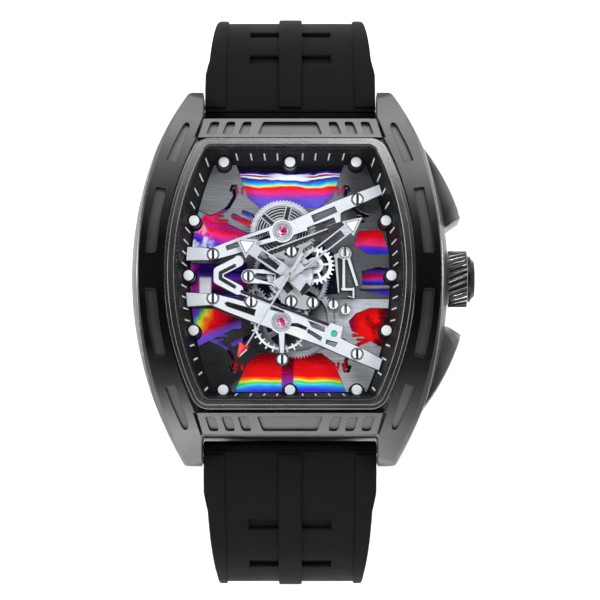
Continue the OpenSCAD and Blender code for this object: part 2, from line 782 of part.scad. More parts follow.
module crown() {
  flutes = 30;
  flute_r = 0.32;
  color([0.12, 0.12, 0.13]) translate([crown_x, 0, crown_z]) rotate([0, 90, 0]) difference() {
    union() {
      cylinder(d = crown_d, h = crown_len);
      translate([0, 0, crown_len]) cylinder(d = crown_d - 1.5, h = 0.5);
      translate([0, 0, crown_len + 0.5]) cylinder(d1 = crown_d - 2, d2 = crown_d - 3, h = 0.55);
    }
    for (i = [0 : flutes - 1]) rotate(i * 360 / flutes)
      translate([crown_d / 2 + 0.12, 0, crown_len / 2]) rotate([22, 0, 0])
        cylinder(r = flute_r, h = crown_len + 2, center = true, $fn = 16);
    translate([0, 0, crown_len + 0.85]) cylinder(d = crown_d - 4.4, h = 1);
    translate([0, 0, -1]) cylinder(r = stem_d / 2, h = 2.5);
  }
}

// Stem from the crown to the setting works, with a groove for the yoke
stem_x0 = mplate_w / 2 + 0.1;
groove_x = stem_x0 + 0.4;

module winding_stem() {
  color([0.6, 0.6, 0.62]) translate([stem_x0, 0, crown_z]) rotate([0, 90, 0]) difference() {
    cylinder(d = stem_d, h = crown_x + 1.5 - stem_x0);
    translate([0, 0, groove_x - stem_x0]) difference() {
      cylinder(d = stem_d + 1, h = 0.5);
      cylinder(d = stem_d - 0.4, h = 0.5);
    }
  }
}

module crown_gasket() {
  color([0.03, 0.03, 0.03]) translate([crown_x - 1.6, 0, crown_z]) rotate([0, 90, 0])
    rotate_extrude() translate([stem_d / 2 + 0.16, 0]) circle(0.13, $fn = 24);
}

// Fork that rides in the stem's groove
module setting_yoke() {
  color([0.6, 0.6, 0.62]) translate([groove_x + 0.06, 0, crown_z]) difference() {
    translate([0, -0.6, -1.35]) cube([0.38, 1.2, 1.75]);
    rotate([0, 90, 0]) translate([0, 0, -1]) cylinder(d = stem_d - 0.4 + 2 * run, h = 3);
    translate([-1, -stem_d / 2 + 0.2 - run, 0]) cube([3, stem_d - 0.4 + 2 * run, 2]);
  }
}

module pusher(side) {
  color([0.2, 0.2, 0.21]) scale([1, side, 1]) {
    slab(pusher_z0, pusher_z0 + pusher_h) pusher_2d();
    translate([pusher_stem_x, pusher_stem_y, crown_z]) rotate([0, 90, 0])
      cylinder(r = pusher_stem_r, h = 4.7);
  }
}

module movement_ring() {
  color([0.1, 0.1, 0.11]) difference() {
    union() {
      slab(mring_z, bezel_z - gap) tonneau(bay_w - 2 * gap, bay_l - 2 * gap, bay_r);
      slab(bezel_z - 1, ring_z - 0.02) tonneau(ring_w - gap, ring_l - gap, ring_r);
    }
    slab(mring_z - 1, ring_z) tonneau(base_w, base_l, mplate_r);
    slab(film_z - film_t, ring_z) tonneau(film_w + 2 * gap, film_l + 2 * gap, mplate_r);
    slab(plate_z - plate_t, ring_z + 1) tonneau(mplate_w + 2 * gap, mplate_l + 2 * gap, mplate_r);
    translate([10, 0, crown_z]) rotate([0, 90, 0]) cylinder(r = stem_d / 2 + 0.25, h = 10);
    translate([groove_x - 0.2, -0.8, crown_z - 1.6]) cube([crown_pull + 0.9, 1.6, 2.2]);
  }
}

module film_plate() {
  color([0.35, 0.1, 0.5]) slab(film_z - film_t, film_z) tonneau(film_w, film_l, mplate_r);
}

// Openings cut through the main plate, mirrored where the plate is symmetric
module plate_openings() {
  for (s = [-1, 1]) scale([s, 1]) polygon([[0, 16.2], [7.55, 16.2], [5.9, 11.4], [4.1, 9.9], [0, 9.9]]);
  polygon([[-13.4, 9.9], [-5.2, 6], [-11.1, 3.8], [-14, 4]]);
  polygon([[-14.1, 2.1], [-6, 2.1], [-6, -2.6], [-14.1, -2.4]]);
  polygon([[-14, -4.3], [-10.6, -4.3], [-6.8, -5.8], [-6.8, -7.1], [-8, -7.2], [-10.3, -8.3], [-13.2, -9.8]]);
  polygon([[9.7, 6.7], [12.7, 6.9], [14, 3.4], [11, 3.4], [8.9, 4.6]]);
  polygon([[10, 1], [12.3, 1.6], [14, 1.4], [14, -2.4], [9.7, -1.7], [10.2, -0.4]]);
  polygon([[8.2, -6.1], [9.2, -5], [11.2, -4.25], [14, -4.3], [13.1, -9.9], [8.6, -7.4]]);
  polygon([[-7.8, -16.2], [-6, -12], [-4.3, -10.6], [4.4, -10.6], [6.2, -12], [7.8, -16.2]]);
  polygon([[4, -2.4], [6.6, -2.2], [6.6, 3.1], [4, 5]]);
  circle(fourth_z * fourth_m / 2 + fourth_m + 0.15);
  translate(escape_at) circle(escape_pinion_z * fourth_m / 2 + fourth_m + 0.15);
}

// Slots like antlers on the four corner lobes of the main plate
module lobe_slots() {
  for (s = [-1, 1], t = [-1, 1]) scale([s, t]) {
    strip([7.9, 12.5], [7.75, 11.6], 0.45);
    strip([7.75, 11.6], [8.6, 10.1], 0.45);
    strip([8.6, 10.1], [9.6, 9.3], 0.45);
    strip([9.6, 9.3], [10.9, 8.8], 0.4);
    strip([10.9, 8.75], [9.4, 8.7], 0.3);
    strip([10.3, 8.05], [8.8, 8.1], 0.35);
    strip([8.35, 12.4], [8.1, 13.1], 0.3);
    strip([8.1, 13.1], [7.6, 13.1], 0.3);
    strip([7.6, 13.1], [7.35, 12.1], 0.3);
    strip([6.75, 12], [6.6, 12.8], 0.3);
  }
  strip([-7.9, 8.75], [-5.6, 7.6], 0.7);
  strip([-6.5, 9.3], [-5.2, 8.8], 0.55);
  strip([-7.9, -9.25], [-5.5, -8.2], 0.65);
  strip([7.4, -8.7], [8, -9.2], 0.4);
}

module main_plate() {
  color([0.55, 0.55, 0.56]) difference() {
    union() {
      slab(plate_z - plate_t, plate_z) difference() {
        tonneau(mplate_w, mplate_l, mplate_r);
        plate_openings();
        lobe_slots();
      }
      for (p = pillar_at) translate([p.x, p.y, plate_z - 0.1])
        cylinder(r = 0.85, h = bridge_z - plate_z + 0.08);
      translate([barrel_at.x, barrel_at.y, plate_z - 0.1])
        cylinder(r = arbor_r, h = bridge_z - plate_z + 0.08);
    }
    for (p = pillar_at) translate([p.x, p.y, plate_z + 0.5]) cylinder(r = 0.36, h = 5);
    for (p = plate_screw_at) translate([p.x, p.y, plate_z - 0.45]) cylinder(r = 0.36, h = 5);
    translate([third_at.x, third_at.y, plate_z - 2]) cylinder(r = staff_r + run, h = 3);
  }
}

// Pillars on the main plate that carry the bridges
pillar_at = [[-10.7, 2.94], [9.4, 10.7], [-10.7, -3.2], [9.3, -11]];

// Screws in the bridges
bridge_screw_at = [pillar_at[0], pillar_at[1], pillar_at[2], pillar_at[3], [-5.38, -3.68],
  [0.2, 3.36], [0.17, -3.68], [3.17, -3.83], [-5.78, -0.12], cock_at];
plate_screw_at = [[6.03, -3.85], [7.74, -4.6], [7.65, 3.42]];

module barrel() {
  r = barrel_teeth * barrel_m / 2 - 2 * barrel_m;
  color([0.75, 0.75, 0.76]) translate([barrel_at.x, barrel_at.y, barrel_z]) difference() {
    union() {
      linear_extrude(wheel_t)
        gear(barrel_teeth, barrel_m, mesh_phase(0, centre_pinion_z, barrel_teeth, barrel_dir));
      cylinder(r = r, h = barrel_h);
    }
    difference() {
      translate([0, 0, 0.15]) cylinder(r = r - 0.2, h = barrel_h);
      cylinder(r = 0.9, h = barrel_h);
      translate([0, 0, barrel_h - 0.15]) linear_extrude(1) for (i = [0 : 4]) rotate(i * 72 + 20)
        translate([0, -0.45]) square([r, 0.9]);
      translate([0, 0, barrel_h - 0.15]) difference() {
        cylinder(r = r, h = 1);
        translate([0, 0, -1]) cylinder(r = r - 0.45, h = 3);
      }
      translate([0, 0, barrel_h - 0.15]) cylinder(r = 1.9, h = 1);
    }
    translate([0, 0, barrel_h - 0.5]) linear_extrude(2) for (i = [0 : 4]) rotate(i * 72 + 20)
      translate([1.7, -0.2]) square([r - 2.1, 0.4]);
    translate([0, 0, -1]) cylinder(r = arbor_r + run, h = 4);
  }
}

// Flat spiral ribbon
module spiral(r0, r1, turns, w, steps) {
  n = turns * steps;
  outer = [for (i = [0 : n]) let(a = 360 * i / steps, r = r0 + (r1 - r0) * i / n)
    [r * cos(a), r * sin(a)]];
  inner = [for (i = [n : -1 : 0]) let(a = 360 * i / steps, r = r0 + (r1 - r0) * i / n - w)
    [r * cos(a), r * sin(a)]];
  polygon(concat(outer, inner));
}

module mainspring() {
  r1 = barrel_teeth * barrel_m / 2 - 2 * barrel_m - 0.25;
  color([0.7, 0.7, 0.72]) translate([barrel_at.x, barrel_at.y, barrel_z + 0.17])
    linear_extrude(barrel_h - 0.35) spiral(1.2, r1, 6, 0.18, 24);
}

module centre_wheel() {
  pinion_top = cannon_z0 + 0.35;
  color([0.78, 0.72, 0.5]) difference() {
    union() {
      translate([0, 0, centre_wheel_z]) linear_extrude(wheel_t)
        spoked(centre_z, centre_m, 0, 0.45, 1.3, 4, 0.5);
      translate([0, 0, centre_wheel_z]) linear_extrude(barrel_z + wheel_t + 0.2 - centre_wheel_z)
        gear(centre_pinion_z, barrel_m, 0);
      translate([0, 0, cannon_z0]) linear_extrude(pinion_top - cannon_z0) gear(cannon_z, cannon_m, 0);
      translate([0, 0, centre_wheel_z])
        cylinder(r = minute_tube_r, h = minute_hand_z - 0.02 - centre_wheel_z);
    }
    translate([0, 0, 5]) cylinder(r = seconds_arbor_r + run, h = 10);
  }
}

module third_wheel() {
  phase = mesh_phase(0, seconds_z, third_z, third_dir);
  pinion_phase = mesh_phase(0, centre_z, third_pinion_z, third_dir);
  color([0.45, 0.45, 0.46]) translate([third_at.x, third_at.y, 0]) {
    translate([0, 0, third_wheel_z]) linear_extrude(wheel_t)
      spoked(third_z, third_m, phase, 0.75, 0.9, 3, 0.8);
    translate([0, 0, third_wheel_z + wheel_t]) linear_extrude(centre_wheel_z + 0.05 - third_wheel_z)
      gear(third_pinion_z, centre_m, pinion_phase);
    translate([0, 0, plate_z - plate_t + 0.1]) cylinder(r = staff_r, h = third_wheel_z - plate_z + plate_t);
  }
}

module fourth_wheel() {
  color([0.78, 0.72, 0.5]) {
    translate([0, 0, fourth_wheel_z]) linear_extrude(wheel_t)
      spoked(fourth_z, fourth_m, 0, 0.4, 0.8, 4, 0.4);
    translate([0, 0, fourth_wheel_z + wheel_t])
      linear_extrude(third_wheel_z + wheel_t + 0.06 - fourth_wheel_z - wheel_t) gear(seconds_z, third_m, 0);
    translate([0, 0, film_z + 0.1]) cylinder(r = seconds_arbor_r, h = seconds_hand_z - 0.02 - film_z - 0.1);
  }
}

module escape_wheel() {
  phase = mesh_phase(0, fourth_z, escape_pinion_z, escape_dir);
  color([0.8, 0.75, 0.6]) translate([escape_at.x, escape_at.y, 0]) {
    translate([0, 0, fourth_wheel_z - 0.05]) linear_extrude(0.35) gear(escape_pinion_z, fourth_m, phase);
    translate([0, 0, film_z + 0.02]) cylinder(r = staff_r, h = escape_z0 + 0.3 - film_z);
    translate([0, 0, escape_z0]) linear_extrude(0.14) {
      difference() {
        circle(escape_r - 0.3);
        circle(escape_r - 0.55);
      }
      circle(0.35);
      for (i = [0 : 3]) rotate(i * 90 + 20) translate([0, -0.12]) square([escape_r - 0.4, 0.24]);
      for (i = [0 : escape_z - 1]) rotate(i * 360 / escape_z) polygon([[escape_r - 0.4, -0.13],
        [escape_r - 0.4, 0.13], [escape_r, 0.2], [escape_r, 0.12]]);
    }
  }
}

module pallet_fork() {
  to_balance = atan2(balance_at.y - fork_at.y, balance_at.x - fork_at.x);
  reach = norm(escape_at - fork_at);
  arm = sqrt(pow(reach, 2) - pow(escape_r + 0.12, 2)) + 0.15;
  swing = 52;
  color([0.7, 0.7, 0.72]) translate([fork_at.x, fork_at.y, escape_z0]) rotate(to_balance) {
    linear_extrude(0.14) {
      taper([0, 0], [fork_len - 0.5, 0], 0.5, 0.24);
      for (t = [-1, 1]) taper([fork_len - 0.6, 0], [fork_len, 0.26 * t], 0.22, 0.14);
      for (t = [-1, 1]) taper([0, 0], [-arm * cos(swing), arm * sin(swing) * t], 0.4, 0.22);
      circle(0.36);
    }
    translate([0, 0, cock_z + 0.02 - escape_z0]) cylinder(r = 0.1, h = 0.5);
  }
}

module balance_wheel() {
  screws = 25;
  color([0.86, 0.85, 0.8]) translate([balance_at.x, balance_at.y, balance_z]) {
    linear_extrude(balance_t) {
      difference() {
        circle(balance_r);
        circle(balance_r - 0.32);
      }
      for (a = [35, 155, 275]) rotate(a) translate([0, -0.2]) square([balance_r - 0.2, 0.4]);
      circle(0.55);
    }
    for (i = [0 : screws - 1]) rotate([0, 0, i * 360 / screws + 8])
      translate([balance_r - 0.6, 0, balance_t / 2]) rotate([0, 90, 0])
        cylinder(r = 0.14, h = 1.02, $fn = 24);
    translate([0, 0, cock_z + 0.02 - balance_z]) cylinder(r = staff_r, h = bridge_z + 0.08 - cock_z);
  }
}

module hairspring() {
  color([0.3, 0.35, 0.6]) translate([balance_at.x, balance_at.y, balance_z + balance_t + 0.06])
    linear_extrude(0.14) spiral(0.75, 2.4, 6, 0.07, 20);
}

// Lower support of the balance, on a pillar clear of the third wheel
module balance_cock() {
  color([0.6, 0.6, 0.61]) difference() {
    union() {
      slab(cock_z, cock_z + 0.14) {
        strip(cock_at, balance_at, 0.9);
        strip(balance_at, fork_at, 0.6);
        translate(balance_at) circle(0.8);
      }
      translate([cock_at.x, cock_at.y, plate_z - plate_t])
        cylinder(r = 0.6, h = bridge_z - plate_z + plate_t - 0.03);
    }
    translate([cock_at.x, cock_at.y, bridge_z - 0.6]) cylinder(r = 0.36, h = 5);
    translate([balance_at.x, balance_at.y, 5]) cylinder(r = staff_r + run, h = 10);
    translate([fork_at.x, fork_at.y, 5]) cylinder(r = 0.1 + run, h = 10);
  }
}

module minute_wheel() {
  phase = mesh_phase(0, cannon_z, minute_z, minute_dir);
  color([0.9, 0.9, 0.9]) difference() {
    translate([minute_at.x, minute_at.y, cannon_z0]) {
      linear_extrude(wheel_t + 0.08) spoked(minute_z, cannon_m, phase, 0.45, 1.15, 5, 0.3);
      translate([0, 0, wheel_t]) linear_extrude(hour_wheel_z + wheel_t + 0.02 - cannon_z0 - wheel_t)
        gear(minute_pinion_z, hour_m, 0);
    }
    translate([minute_at.x, minute_at.y, 5]) cylinder(r = staff_r + run, h = 10);
  }
}

module hour_wheel() {
  phase = mesh_phase(0, minute_pinion_z, hour_z, minute_dir + 180);
  color([0.85, 0.85, 0.85]) difference() {
    union() {
      translate([0, 0, hour_wheel_z]) linear_extrude(wheel_t) gear(hour_z, hour_m, phase);
      translate([0, 0, hour_wheel_z]) cylinder(r = hour_tube_r, h = hour_hand_z - 0.02 - hour_wheel_z);
    }
    translate([0, 0, 5]) cylinder(r = minute_tube_r + run, h = 10);
  }
}

// Outline that the bridges' ends follow along the chapter ring
module bridge_room() {
  tonneau(wall_in_w + 2 * bridge_edge, wall_in_l + 2 * bridge_edge, wall_in_r + bridge_edge);
}

module barrel_bridge() {
  color([0.88, 0.88, 0.89]) difference() {
    slab(bridge_z, bridge_z + bridge_t) difference() {
      union() {
        intersection() {
          bridge_room();
          polygon([[-15.15, 2.02], [-10.6, 2.1], [-7.2, 3.05], [-4.2, 4.15], [-1.2, 5], [2, 6.15],
            [5.25, 6.85], [7.1, 7.5], [7.1, 8.65], [7.5, 8.95], [9, 9.6], [13.55, 11.7], [13, 13.1],
            [6, 10.4], [2.8, 8.95], [0.3, 7.8], [-1, 7.7], [-3, 6.85], [-5.5, 5.95], [-8, 5.05],
            [-11.1, 3.8], [-12.2, 4], [-15.15, 4.08]]);
        }
        translate(barrel_at) circle(1.7);
      }
      taper([-8.8, 3.85], [-2.9, 5.75], 0.55, 0.85);
      taper([3.2, 7.95], [6.35, 9.3], 0.95, 0.75);
      taper([2.5, 6.45], [6.2, 7.75], 0.5, 0.7);
      translate(barrel_at) circle(jewel_r + 0.02);
    }
    translate([barrel_at.x, barrel_at.y, bridge_z + bridge_t - 0.06]) difference() {
      cylinder(r = 1.28, h = 1);
      translate([0, 0, -1]) cylinder(r = 1.14, h = 3);
    }
    screw_pockets();
  }
}

module screw_pockets() {
  for (p = bridge_screw_at) translate([p.x, p.y, bridge_z - 1]) {
    translate([0, 0, bridge_t + 0.8]) cylinder(r = screw_r + screw_ring, h = 2);
    cylinder(r = 0.36, h = 3);
  }
}

module balance_bridge() {
  color([0.88, 0.88, 0.89]) difference() {
    slab(bridge_z, bridge_z + bridge_t) difference() {
      union() {
        intersection() {
          bridge_room();
          polygon([[-15.15, -2.3], [-11.4, -2.5], [-10, -2.65], [-8, -3.15], [-6.25, -3.65], [-5.9, -2.85],
            [-5.2, -2.8], [-2.6, -3.8], [0.3, -4.95], [5.35, -6.9], [5.6, -6.55], [7.45, -7.15],
            [7.1, -8.75], [8.3, -9.4], [10.5, -10.4], [13.55, -12.1], [13, -13.6], [10.8, -12.75],
            [7, -11.15], [4, -9.8], [-0.6, -8.15], [-2.2, -7.65], [-4, -7], [-5.5, -6.45], [-8.9, -5.1],
            [-10.9, -4.2], [-15.15, -4.5]]);
        }
        translate(balance_at) circle(1.75);
        taper(balance_at, cock_at, 1.15, 0.56);
        translate(cock_at) circle(0.95);
      }
      polygon([[-9, -3.95], [-8.7, -3.75], [-4.8, -4.85], [-5, -5.6], [-8.7, -4.3]]);
      taper([-2.6, -4.5], [-0.9, -5.05], 0.5, 0.4);
      polygon([[0.3, -6.75], [1.1, -6.75], [2.3, -7.3], [2.2, -7.6], [1, -7.15], [0.2, -7.05]]);
      polygon([[2.4, -6.1], [4.8, -7.05], [4.7, -7.85], [3.1, -7.2]]);
      polygon([[2.6, -7.6], [4.4, -8.7], [4.2, -9.1], [2.4, -7.9]]);
      polygon([[5.1, -9.05], [6.5, -9.45], [6.2, -9.95], [5, -9.5]]);
      translate([6.1, -8.15]) circle(0.38);
      translate(balance_at) circle(jewel_r + 0.02);
    }
    translate([balance_at.x, balance_at.y, bridge_z + bridge_t - 0.06]) difference() {
      cylinder(r = 1.28, h = 1);
      translate([0, 0, -1]) cylinder(r = 1.14, h = 3);
    }
    screw_pockets();
  }
}

module train_bridge() {
  color([0.85, 0.85, 0.86]) {
    difference() {
      slab(bridge_z, bridge_z + bridge_t - 0.05) difference() {
        union() {
          polygon([[-3.3, 2.7], [-0.4, 3.75], [3.1, 5.05], [3.1, 4.4], [1.9, 3.6], [1.5, 1.4],
            [1.5, -1.4], [2, -2.6], [3.9, -3.4], [3.6, -4.6], [2, -4.9], [0.3, -4.5], [-1.3, -3.9],
            [-1.6, -2.4], [-1.5, 1.2], [-2.2, 1.9]]);
          translate([3.17, -3.83]) circle(0.95);
          taper([0, 0.7], minute_at, 1.1, 0.6);
          translate(minute_at) circle(0.45);
        }
        circle(hour_tube_r + 0.25);
        translate([1.05, 3.65]) circle(0.13);
        translate([-0.62, 3]) circle(0.13);
        taper([-2.1, 2.35], [-0.9, 1.9], 0.3, 0.5);
      }
      screw_pockets();
    }
    translate([minute_at.x, minute_at.y, cannon_z0 + 0.02])
      cylinder(r = staff_r, h = bridge_z + 0.1 - cannon_z0);
  }
}

module chevron_bridge() {
  w = 1.55;
  path = [[-7.15, 1.95], [-9.9, 0.55], [-9.9, -0.6], [-7.2, -2]];
  color([0.86, 0.86, 0.87]) difference() {
    slab(bridge_z, bridge_z + bridge_t) difference() {
      union() {
        for (i = [0 : 2]) strip(path[i], path[i + 1], w);
        translate([-7.15, 2.15]) circle(0.7);
        translate([-5.78, -0.12]) circle(1.05);
        polygon([[-5.7, 0.93], [-3.6, 0.9], [-1.9, 0.2], [-1.9, -2.2], [-2.6, -1.4], [-4, -1.2],
          [-5.8, -1.17]]);
      }
      taper([-4.5, -0.1], [-2.3, -0.5], 0.7, 1.1);
      translate([-4.5, -0.1]) circle(0.35);
    }
    slab(bridge_z + bridge_t - 0.3, bridge_z + 2) {
      strip([-7.7, 1.35], [-9.65, 0.35], 0.36);
      strip([-9.65, 0.35], [-9.65, -0.45], 0.36);
      strip([-9.65, -0.45], [-7.7, -1.6], 0.36);
    }
    screw_pockets();
  }
}

module setting_spring() {
  color([0.9, 0.9, 0.9]) slab(plate_z + 0.02, plate_z + 0.5) difference() {
    union() {
      taper([6.4, 2.9], [6.8, -2.25], 0.55, 0.3);
      taper([7.5, 3.2], [7.5, -1.5], 0.5, 0.55);
      taper([8, 3.2], [9.4, -1.25], 0.6, 0.5);
      strip([7.3, -1.65], [8.8, -1.65], 0.5);
      strip([8.85, -1.5], [8.85, -2.8], 0.4);
      strip([8.85, -2.8], [8.1, -2.65], 0.25);
      strip([6.4, 3], [7.65, 3.42], 0.8);
      translate([7.65, 3.42]) circle(1);
    }
    translate([7.65, 3.42]) circle(0.4);
  }
}

// Slotted screw with its head's top at a given height
module slotted_screw(r, head, shank) {
  difference() {
    union() {
      cylinder(r = r, h = head);
      translate([0, 0, -shank]) cylinder(r = 0.32, h = shank + 0.01);
    }
    translate([-2, -0.11, head - 0.12]) cube([4, 0.22, 1]);
  }
}

module bridge_screws() {
  color([0.8, 0.8, 0.82]) {
    for (p = bridge_screw_at) translate([p.x, p.y, bridge_z + bridge_t - 0.19]) rotate([0, 0, 90])
      slotted_screw(screw_r, 0.25, 0.45);
    for (p = plate_screw_at) translate([p.x, p.y, plate_z + 0.52]) rotate([0, 0, 90])
      slotted_screw(screw_r, 0.25, 0.9);
  }
}

module jewels() {
  color([0.8, 0.1, 0.3]) for (p = [barrel_at, balance_at]) translate([p.x, p.y, bridge_z + 0.12])
    difference() {
      cylinder(r = jewel_r, h = bridge_t - 0.1);
      translate([0, 0, -1]) cylinder(r = staff_r + run, h = 3);
    }
}

// Turns a part drawn at 12 o'clock to a clock angle
module clock(a) {
  rotate([0, 0, -a]) children();
}

// Open-worked hand with an arrow head, before it is turned to its angle
module arrow_hand(len, shaft_w, head_w, head_len, slot) {
  base = len - head_len;
  difference() {
    union() {
      polygon([[-0.6, 0], [0.6, 0], [shaft_w / 2, 1.6], [shaft_w / 2, base + 0.2], [-shaft_w / 2, base + 0.2],
        [-shaft_w / 2, 1.6]]);
      polygon([[-head_w / 2, base], [head_w / 2, base], [0, len]]);
    }
    translate([-shaft_w / 2 + 0.27, slot.x]) square([shaft_w - 0.54, slot.y - slot.x]);
  }
}

module hour_hand() {
  color([0.92, 0.92, 0.93]) clock(hour_angle) slab(hour_hand_z, hour_hand_z + hand_t) difference() {
    union() {
      arrow_hand(hour_len, 1.7, 3.2, 2.75, [1.9, 5.1]);
      polygon([[-0.5, 0], [0.5, 0], [0.85, -0.95], [1.05, -2.45], [-1.15, -2.5], [-0.95, -0.8]]);
      circle(1.05);
    }
    circle(minute_tube_r + run);
  }
}

module minute_hand() {
  color([0.92, 0.92, 0.93]) clock(minute_angle) slab(minute_hand_z, minute_hand_z + hand_t) difference() {
    union() {
      arrow_hand(minute_len, 1.5, 2.7, 2.7, [2.2, 9.3]);
      polygon([[-0.35, 0], [0.35, 0], [0.75, -2.6], [-0.75, -2.6]]);
      circle(0.85);
    }
    circle(seconds_arbor_r + run);
  }
}

module seconds_hand() {
  color([0.9, 0.9, 0.9]) clock(seconds_angle) translate([0, 0, seconds_hand_z]) {
    linear_extrude(0.09) {
      polygon([[-0.16, 0], [0.16, 0], [0.07, seconds_len - 1.4], [-0.07, seconds_len - 1.4]]);
      polygon([[-0.45, seconds_len - 1.5], [0.45, seconds_len - 1.5], [0, seconds_len]]);
      polygon([[-0.16, 0], [0.16, 0], [0.25, -3.4], [-0.25, -3.4]]);
      circle(0.55);
    }
    cylinder(r = 0.3, h = 0.3);
  }
}

module automatic_bridge() {
  color([0.7, 0.7, 0.72]) difference() {
    slab(auto_z, auto_z + auto_t) tonneau(base_w - 2 * gap, base_l - 2 * gap, mplate_r);
    for (i = [0 : 5]) rotate([0, 0, i * 60 + 30]) translate([7.4, 0, 0]) cylinder(r = 2.2, h = 10);
    cylinder(r = bearing_r + 0.02, h = 10);
  }
}

module rotor_bearing() {
  color([0.75, 0.75, 0.78]) {
    translate([0, 0, rotor_z - 0.2]) cylinder(r = bearing_r, h = auto_z + auto_t - rotor_z);
    translate([0, 0, rotor_z - 0.35]) cylinder(r = bearing_r + 0.5, h = 0.3);
  }
}

module rotor() {
  color([0.6, 0.6, 0.62]) difference() {
    union() {
      slab(rotor_z, rotor_z + rotor_t) {
        intersection() {
          circle(rotor_r);
          translate([-20, -20]) square([40, 19]);
        }
        circle(3);
      }
      slab(rotor_z, rotor_z + rotor_rim_t) intersection() {
        difference() {
          circle(rotor_r);
          circle(rotor_r - 2.2);
        }
        translate([-20, -20]) square([40, 19]);
      }
    }
    for (a = [-150, -120, -90, -60, -30]) rotate([0, 0, a]) translate([7, 0, 0]) cylinder(r = 1.3, h = 10);
    cylinder(r = bearing_r + run, h = 10);
  }
}

// Half plane wedge for cutting ring sectors, from one angle to another
module wedge(a0, a1, r) {
  polygon([[0, 0], [r * cos(a0), r * sin(a0)], [1.5 * r * cos((a0 + a1) / 2), 1.5 * r * sin((a0 + a1) / 2)],
    [r * cos(a1), r * sin(a1)]]);
}

// Sector of a ring
module band_arc(c, r0, r1, a0, a1) {
  translate(c) intersection() {
    difference() {
      circle(r1, $fn = fine);
      circle(r0, $fn = fine);
    }
    wedge(a0, a1, 2 * r1);
  }
}

// Side view of a strap half from the spring bar to the widest place
module upper_band(extra = 0) {
  intersection() {
    difference() {
      translate([outer_face_y, bend_z]) circle(outer_face_r + extra, $fn = fine);
      translate([inner_face_y, bend_z]) circle(inner_face_r, $fn = fine);
    }
    translate([bar_y, bend_z]) square([40, 40]);
  }
}

// Side view of the bend, flat and eye or curl that follow
module lower_band(curl) {
  h = strap_t / 2;
  band_arc([flat_y, bend_z], loop_r - h, loop_r + h, -90, 0);
  translate([flat_y - flat_len, band_z - h]) square([flat_len, strap_t]);
  if (curl) {
    c = [flat_y - flat_len, band_z + curl_r];
    turn1 = curl_turn / 2;
    band_arc(c, curl_r - h, curl_r + h, -90 - turn1, -90);
    band_arc(c, curl_r - h, curl_r + h, -90 - curl_turn, -90 - turn1);
    translate(c) rotate(-90 - curl_turn) translate([curl_r, 0]) circle(h);
  }
}

// Turns a side view into a solid across the strap
module across(x0, x1) {
  translate([x0, 0, 0]) rotate([90, 0, 90]) linear_extrude(x1 - x0) children();
}

// Width of the strap, seen along Y
module strap_mask() {
  w0 = strap_w / 2;
  w1 = strap_w_end / 2;
  step = (w0 - w1) / 4;
  translate([0, 60, 0]) rotate([90, 0, 0]) linear_extrude(120)
    polygon([[-w1, floor_z - 5], [w1, floor_z - 5], [w1, bend_z - 6], [w1 + step, bend_z + 6],
      [w0 - step, bar_z - 1.5], [w0, bar_z], [w0, 9], [-w0, 9], [-w0, bar_z], [-w0 + step, bar_z - 1.5],
      [-w1 - step, bend_z + 6], [-w1, bend_z - 6]]);
}

// Place on the upper band's outer face at an angle from the horizontal
module on_upper(a) {
  translate([0, outer_face_y, bend_z]) rotate([a, 0, 0]) translate([0, outer_face_r, 0]) children();
}

// Louvres, rib and edges that stand out of the strap near the case
module strap_relief() {
  edge_w = 0.75;
  intersection() {
    union() {
      across(-rib_w / 2, rib_w / 2) upper_band(rib_h);
      for (s = [-1, 1]) across(s > 0 ? strap_w / 2 - 3 : -strap_w / 2, s > 0 ? strap_w / 2 : 3 - strap_w / 2)
        upper_band(rib_h * 0.7);
    }
    strap_mask();
    translate([0, bar_y + 0.6, bend_z]) translate([-20, 0, 0]) cube([40, 40, 40]);
  }
}

module strap_half(curl) {
  difference() {
    union() {
      intersection() {
        across(-strap_w / 2, strap_w / 2) {
          upper_band();
          lower_band(curl);
        }
        strap_mask();
      }
      strap_relief();
      translate([-strap_w / 2, bar_y, bar_z]) rotate([0, 90, 0]) cylinder(r = eye_r, h = strap_w);
    }
    translate([-through / 2, bar_y, bar_z]) rotate([0, 90, 0]) cylinder(d = bar_d + 2 * run, h = through);
    for (s = [-1, 1], a = curl ? louvre_at_6 : louvre_at_12) on_upper(a)
      translate([s * (rib_w + louvre_l) / 2 - louvre_l / 2, -louvre_deep, -louvre_w / 2])
        cube([louvre_l, 3, louvre_w]);
  }
}

// Bore for the buckle's bar, right across
module bar_bore(r) {
  translate([-through / 2, buckle_y, band_z]) rotate([0, 90, 0]) cylinder(r = r, h = through);
}

module strap_12() {
  color([0.09, 0.09, 0.09]) difference() {
    union() {
      strap_half(false);
      translate([-strap_w_end / 2, buckle_y, band_z]) rotate([0, 90, 0])
        cylinder(r = strap_t / 2 + 0.3, h = strap_w_end);
    }
    bar_bore(buckle_bar_r + run);
    translate([-tongue_w / 2 - pass, buckle_y - 4, band_z - 3]) cube([tongue_w + 2 * pass, 4 + 2.4, 6]);
  }
}

// Buckle holes, counted back from the curl's end
module strap_6() {
  curl_len = curl_r * curl_turn * PI / 180;
  first = 10;
  color([0.09, 0.09, 0.09]) scale([1, -1, 1]) difference() {
    strap_half(true);
    for (i = [0 : hole_count - 1]) let(s = first + i * hole_step) {
      if (s < curl_len - 1.5) translate([0, flat_y - flat_len, band_z + curl_r])
        rotate([-90 - curl_turn + s / curl_r * 180 / PI, 0, 0])
          translate([0, curl_r, 0]) rotate([90, 0, 0]) cylinder(d = hole_d, h = 6, center = true);
      if (s > curl_len + flat_len + 1.5) translate([0, flat_y, bend_z])
        rotate([-90 + (s - curl_len - flat_len) / loop_r * 180 / PI, 0, 0])
          translate([0, loop_r, 0]) rotate([90, 0, 0]) cylinder(d = hole_d, h = 6, center = true);
    }
  }
}

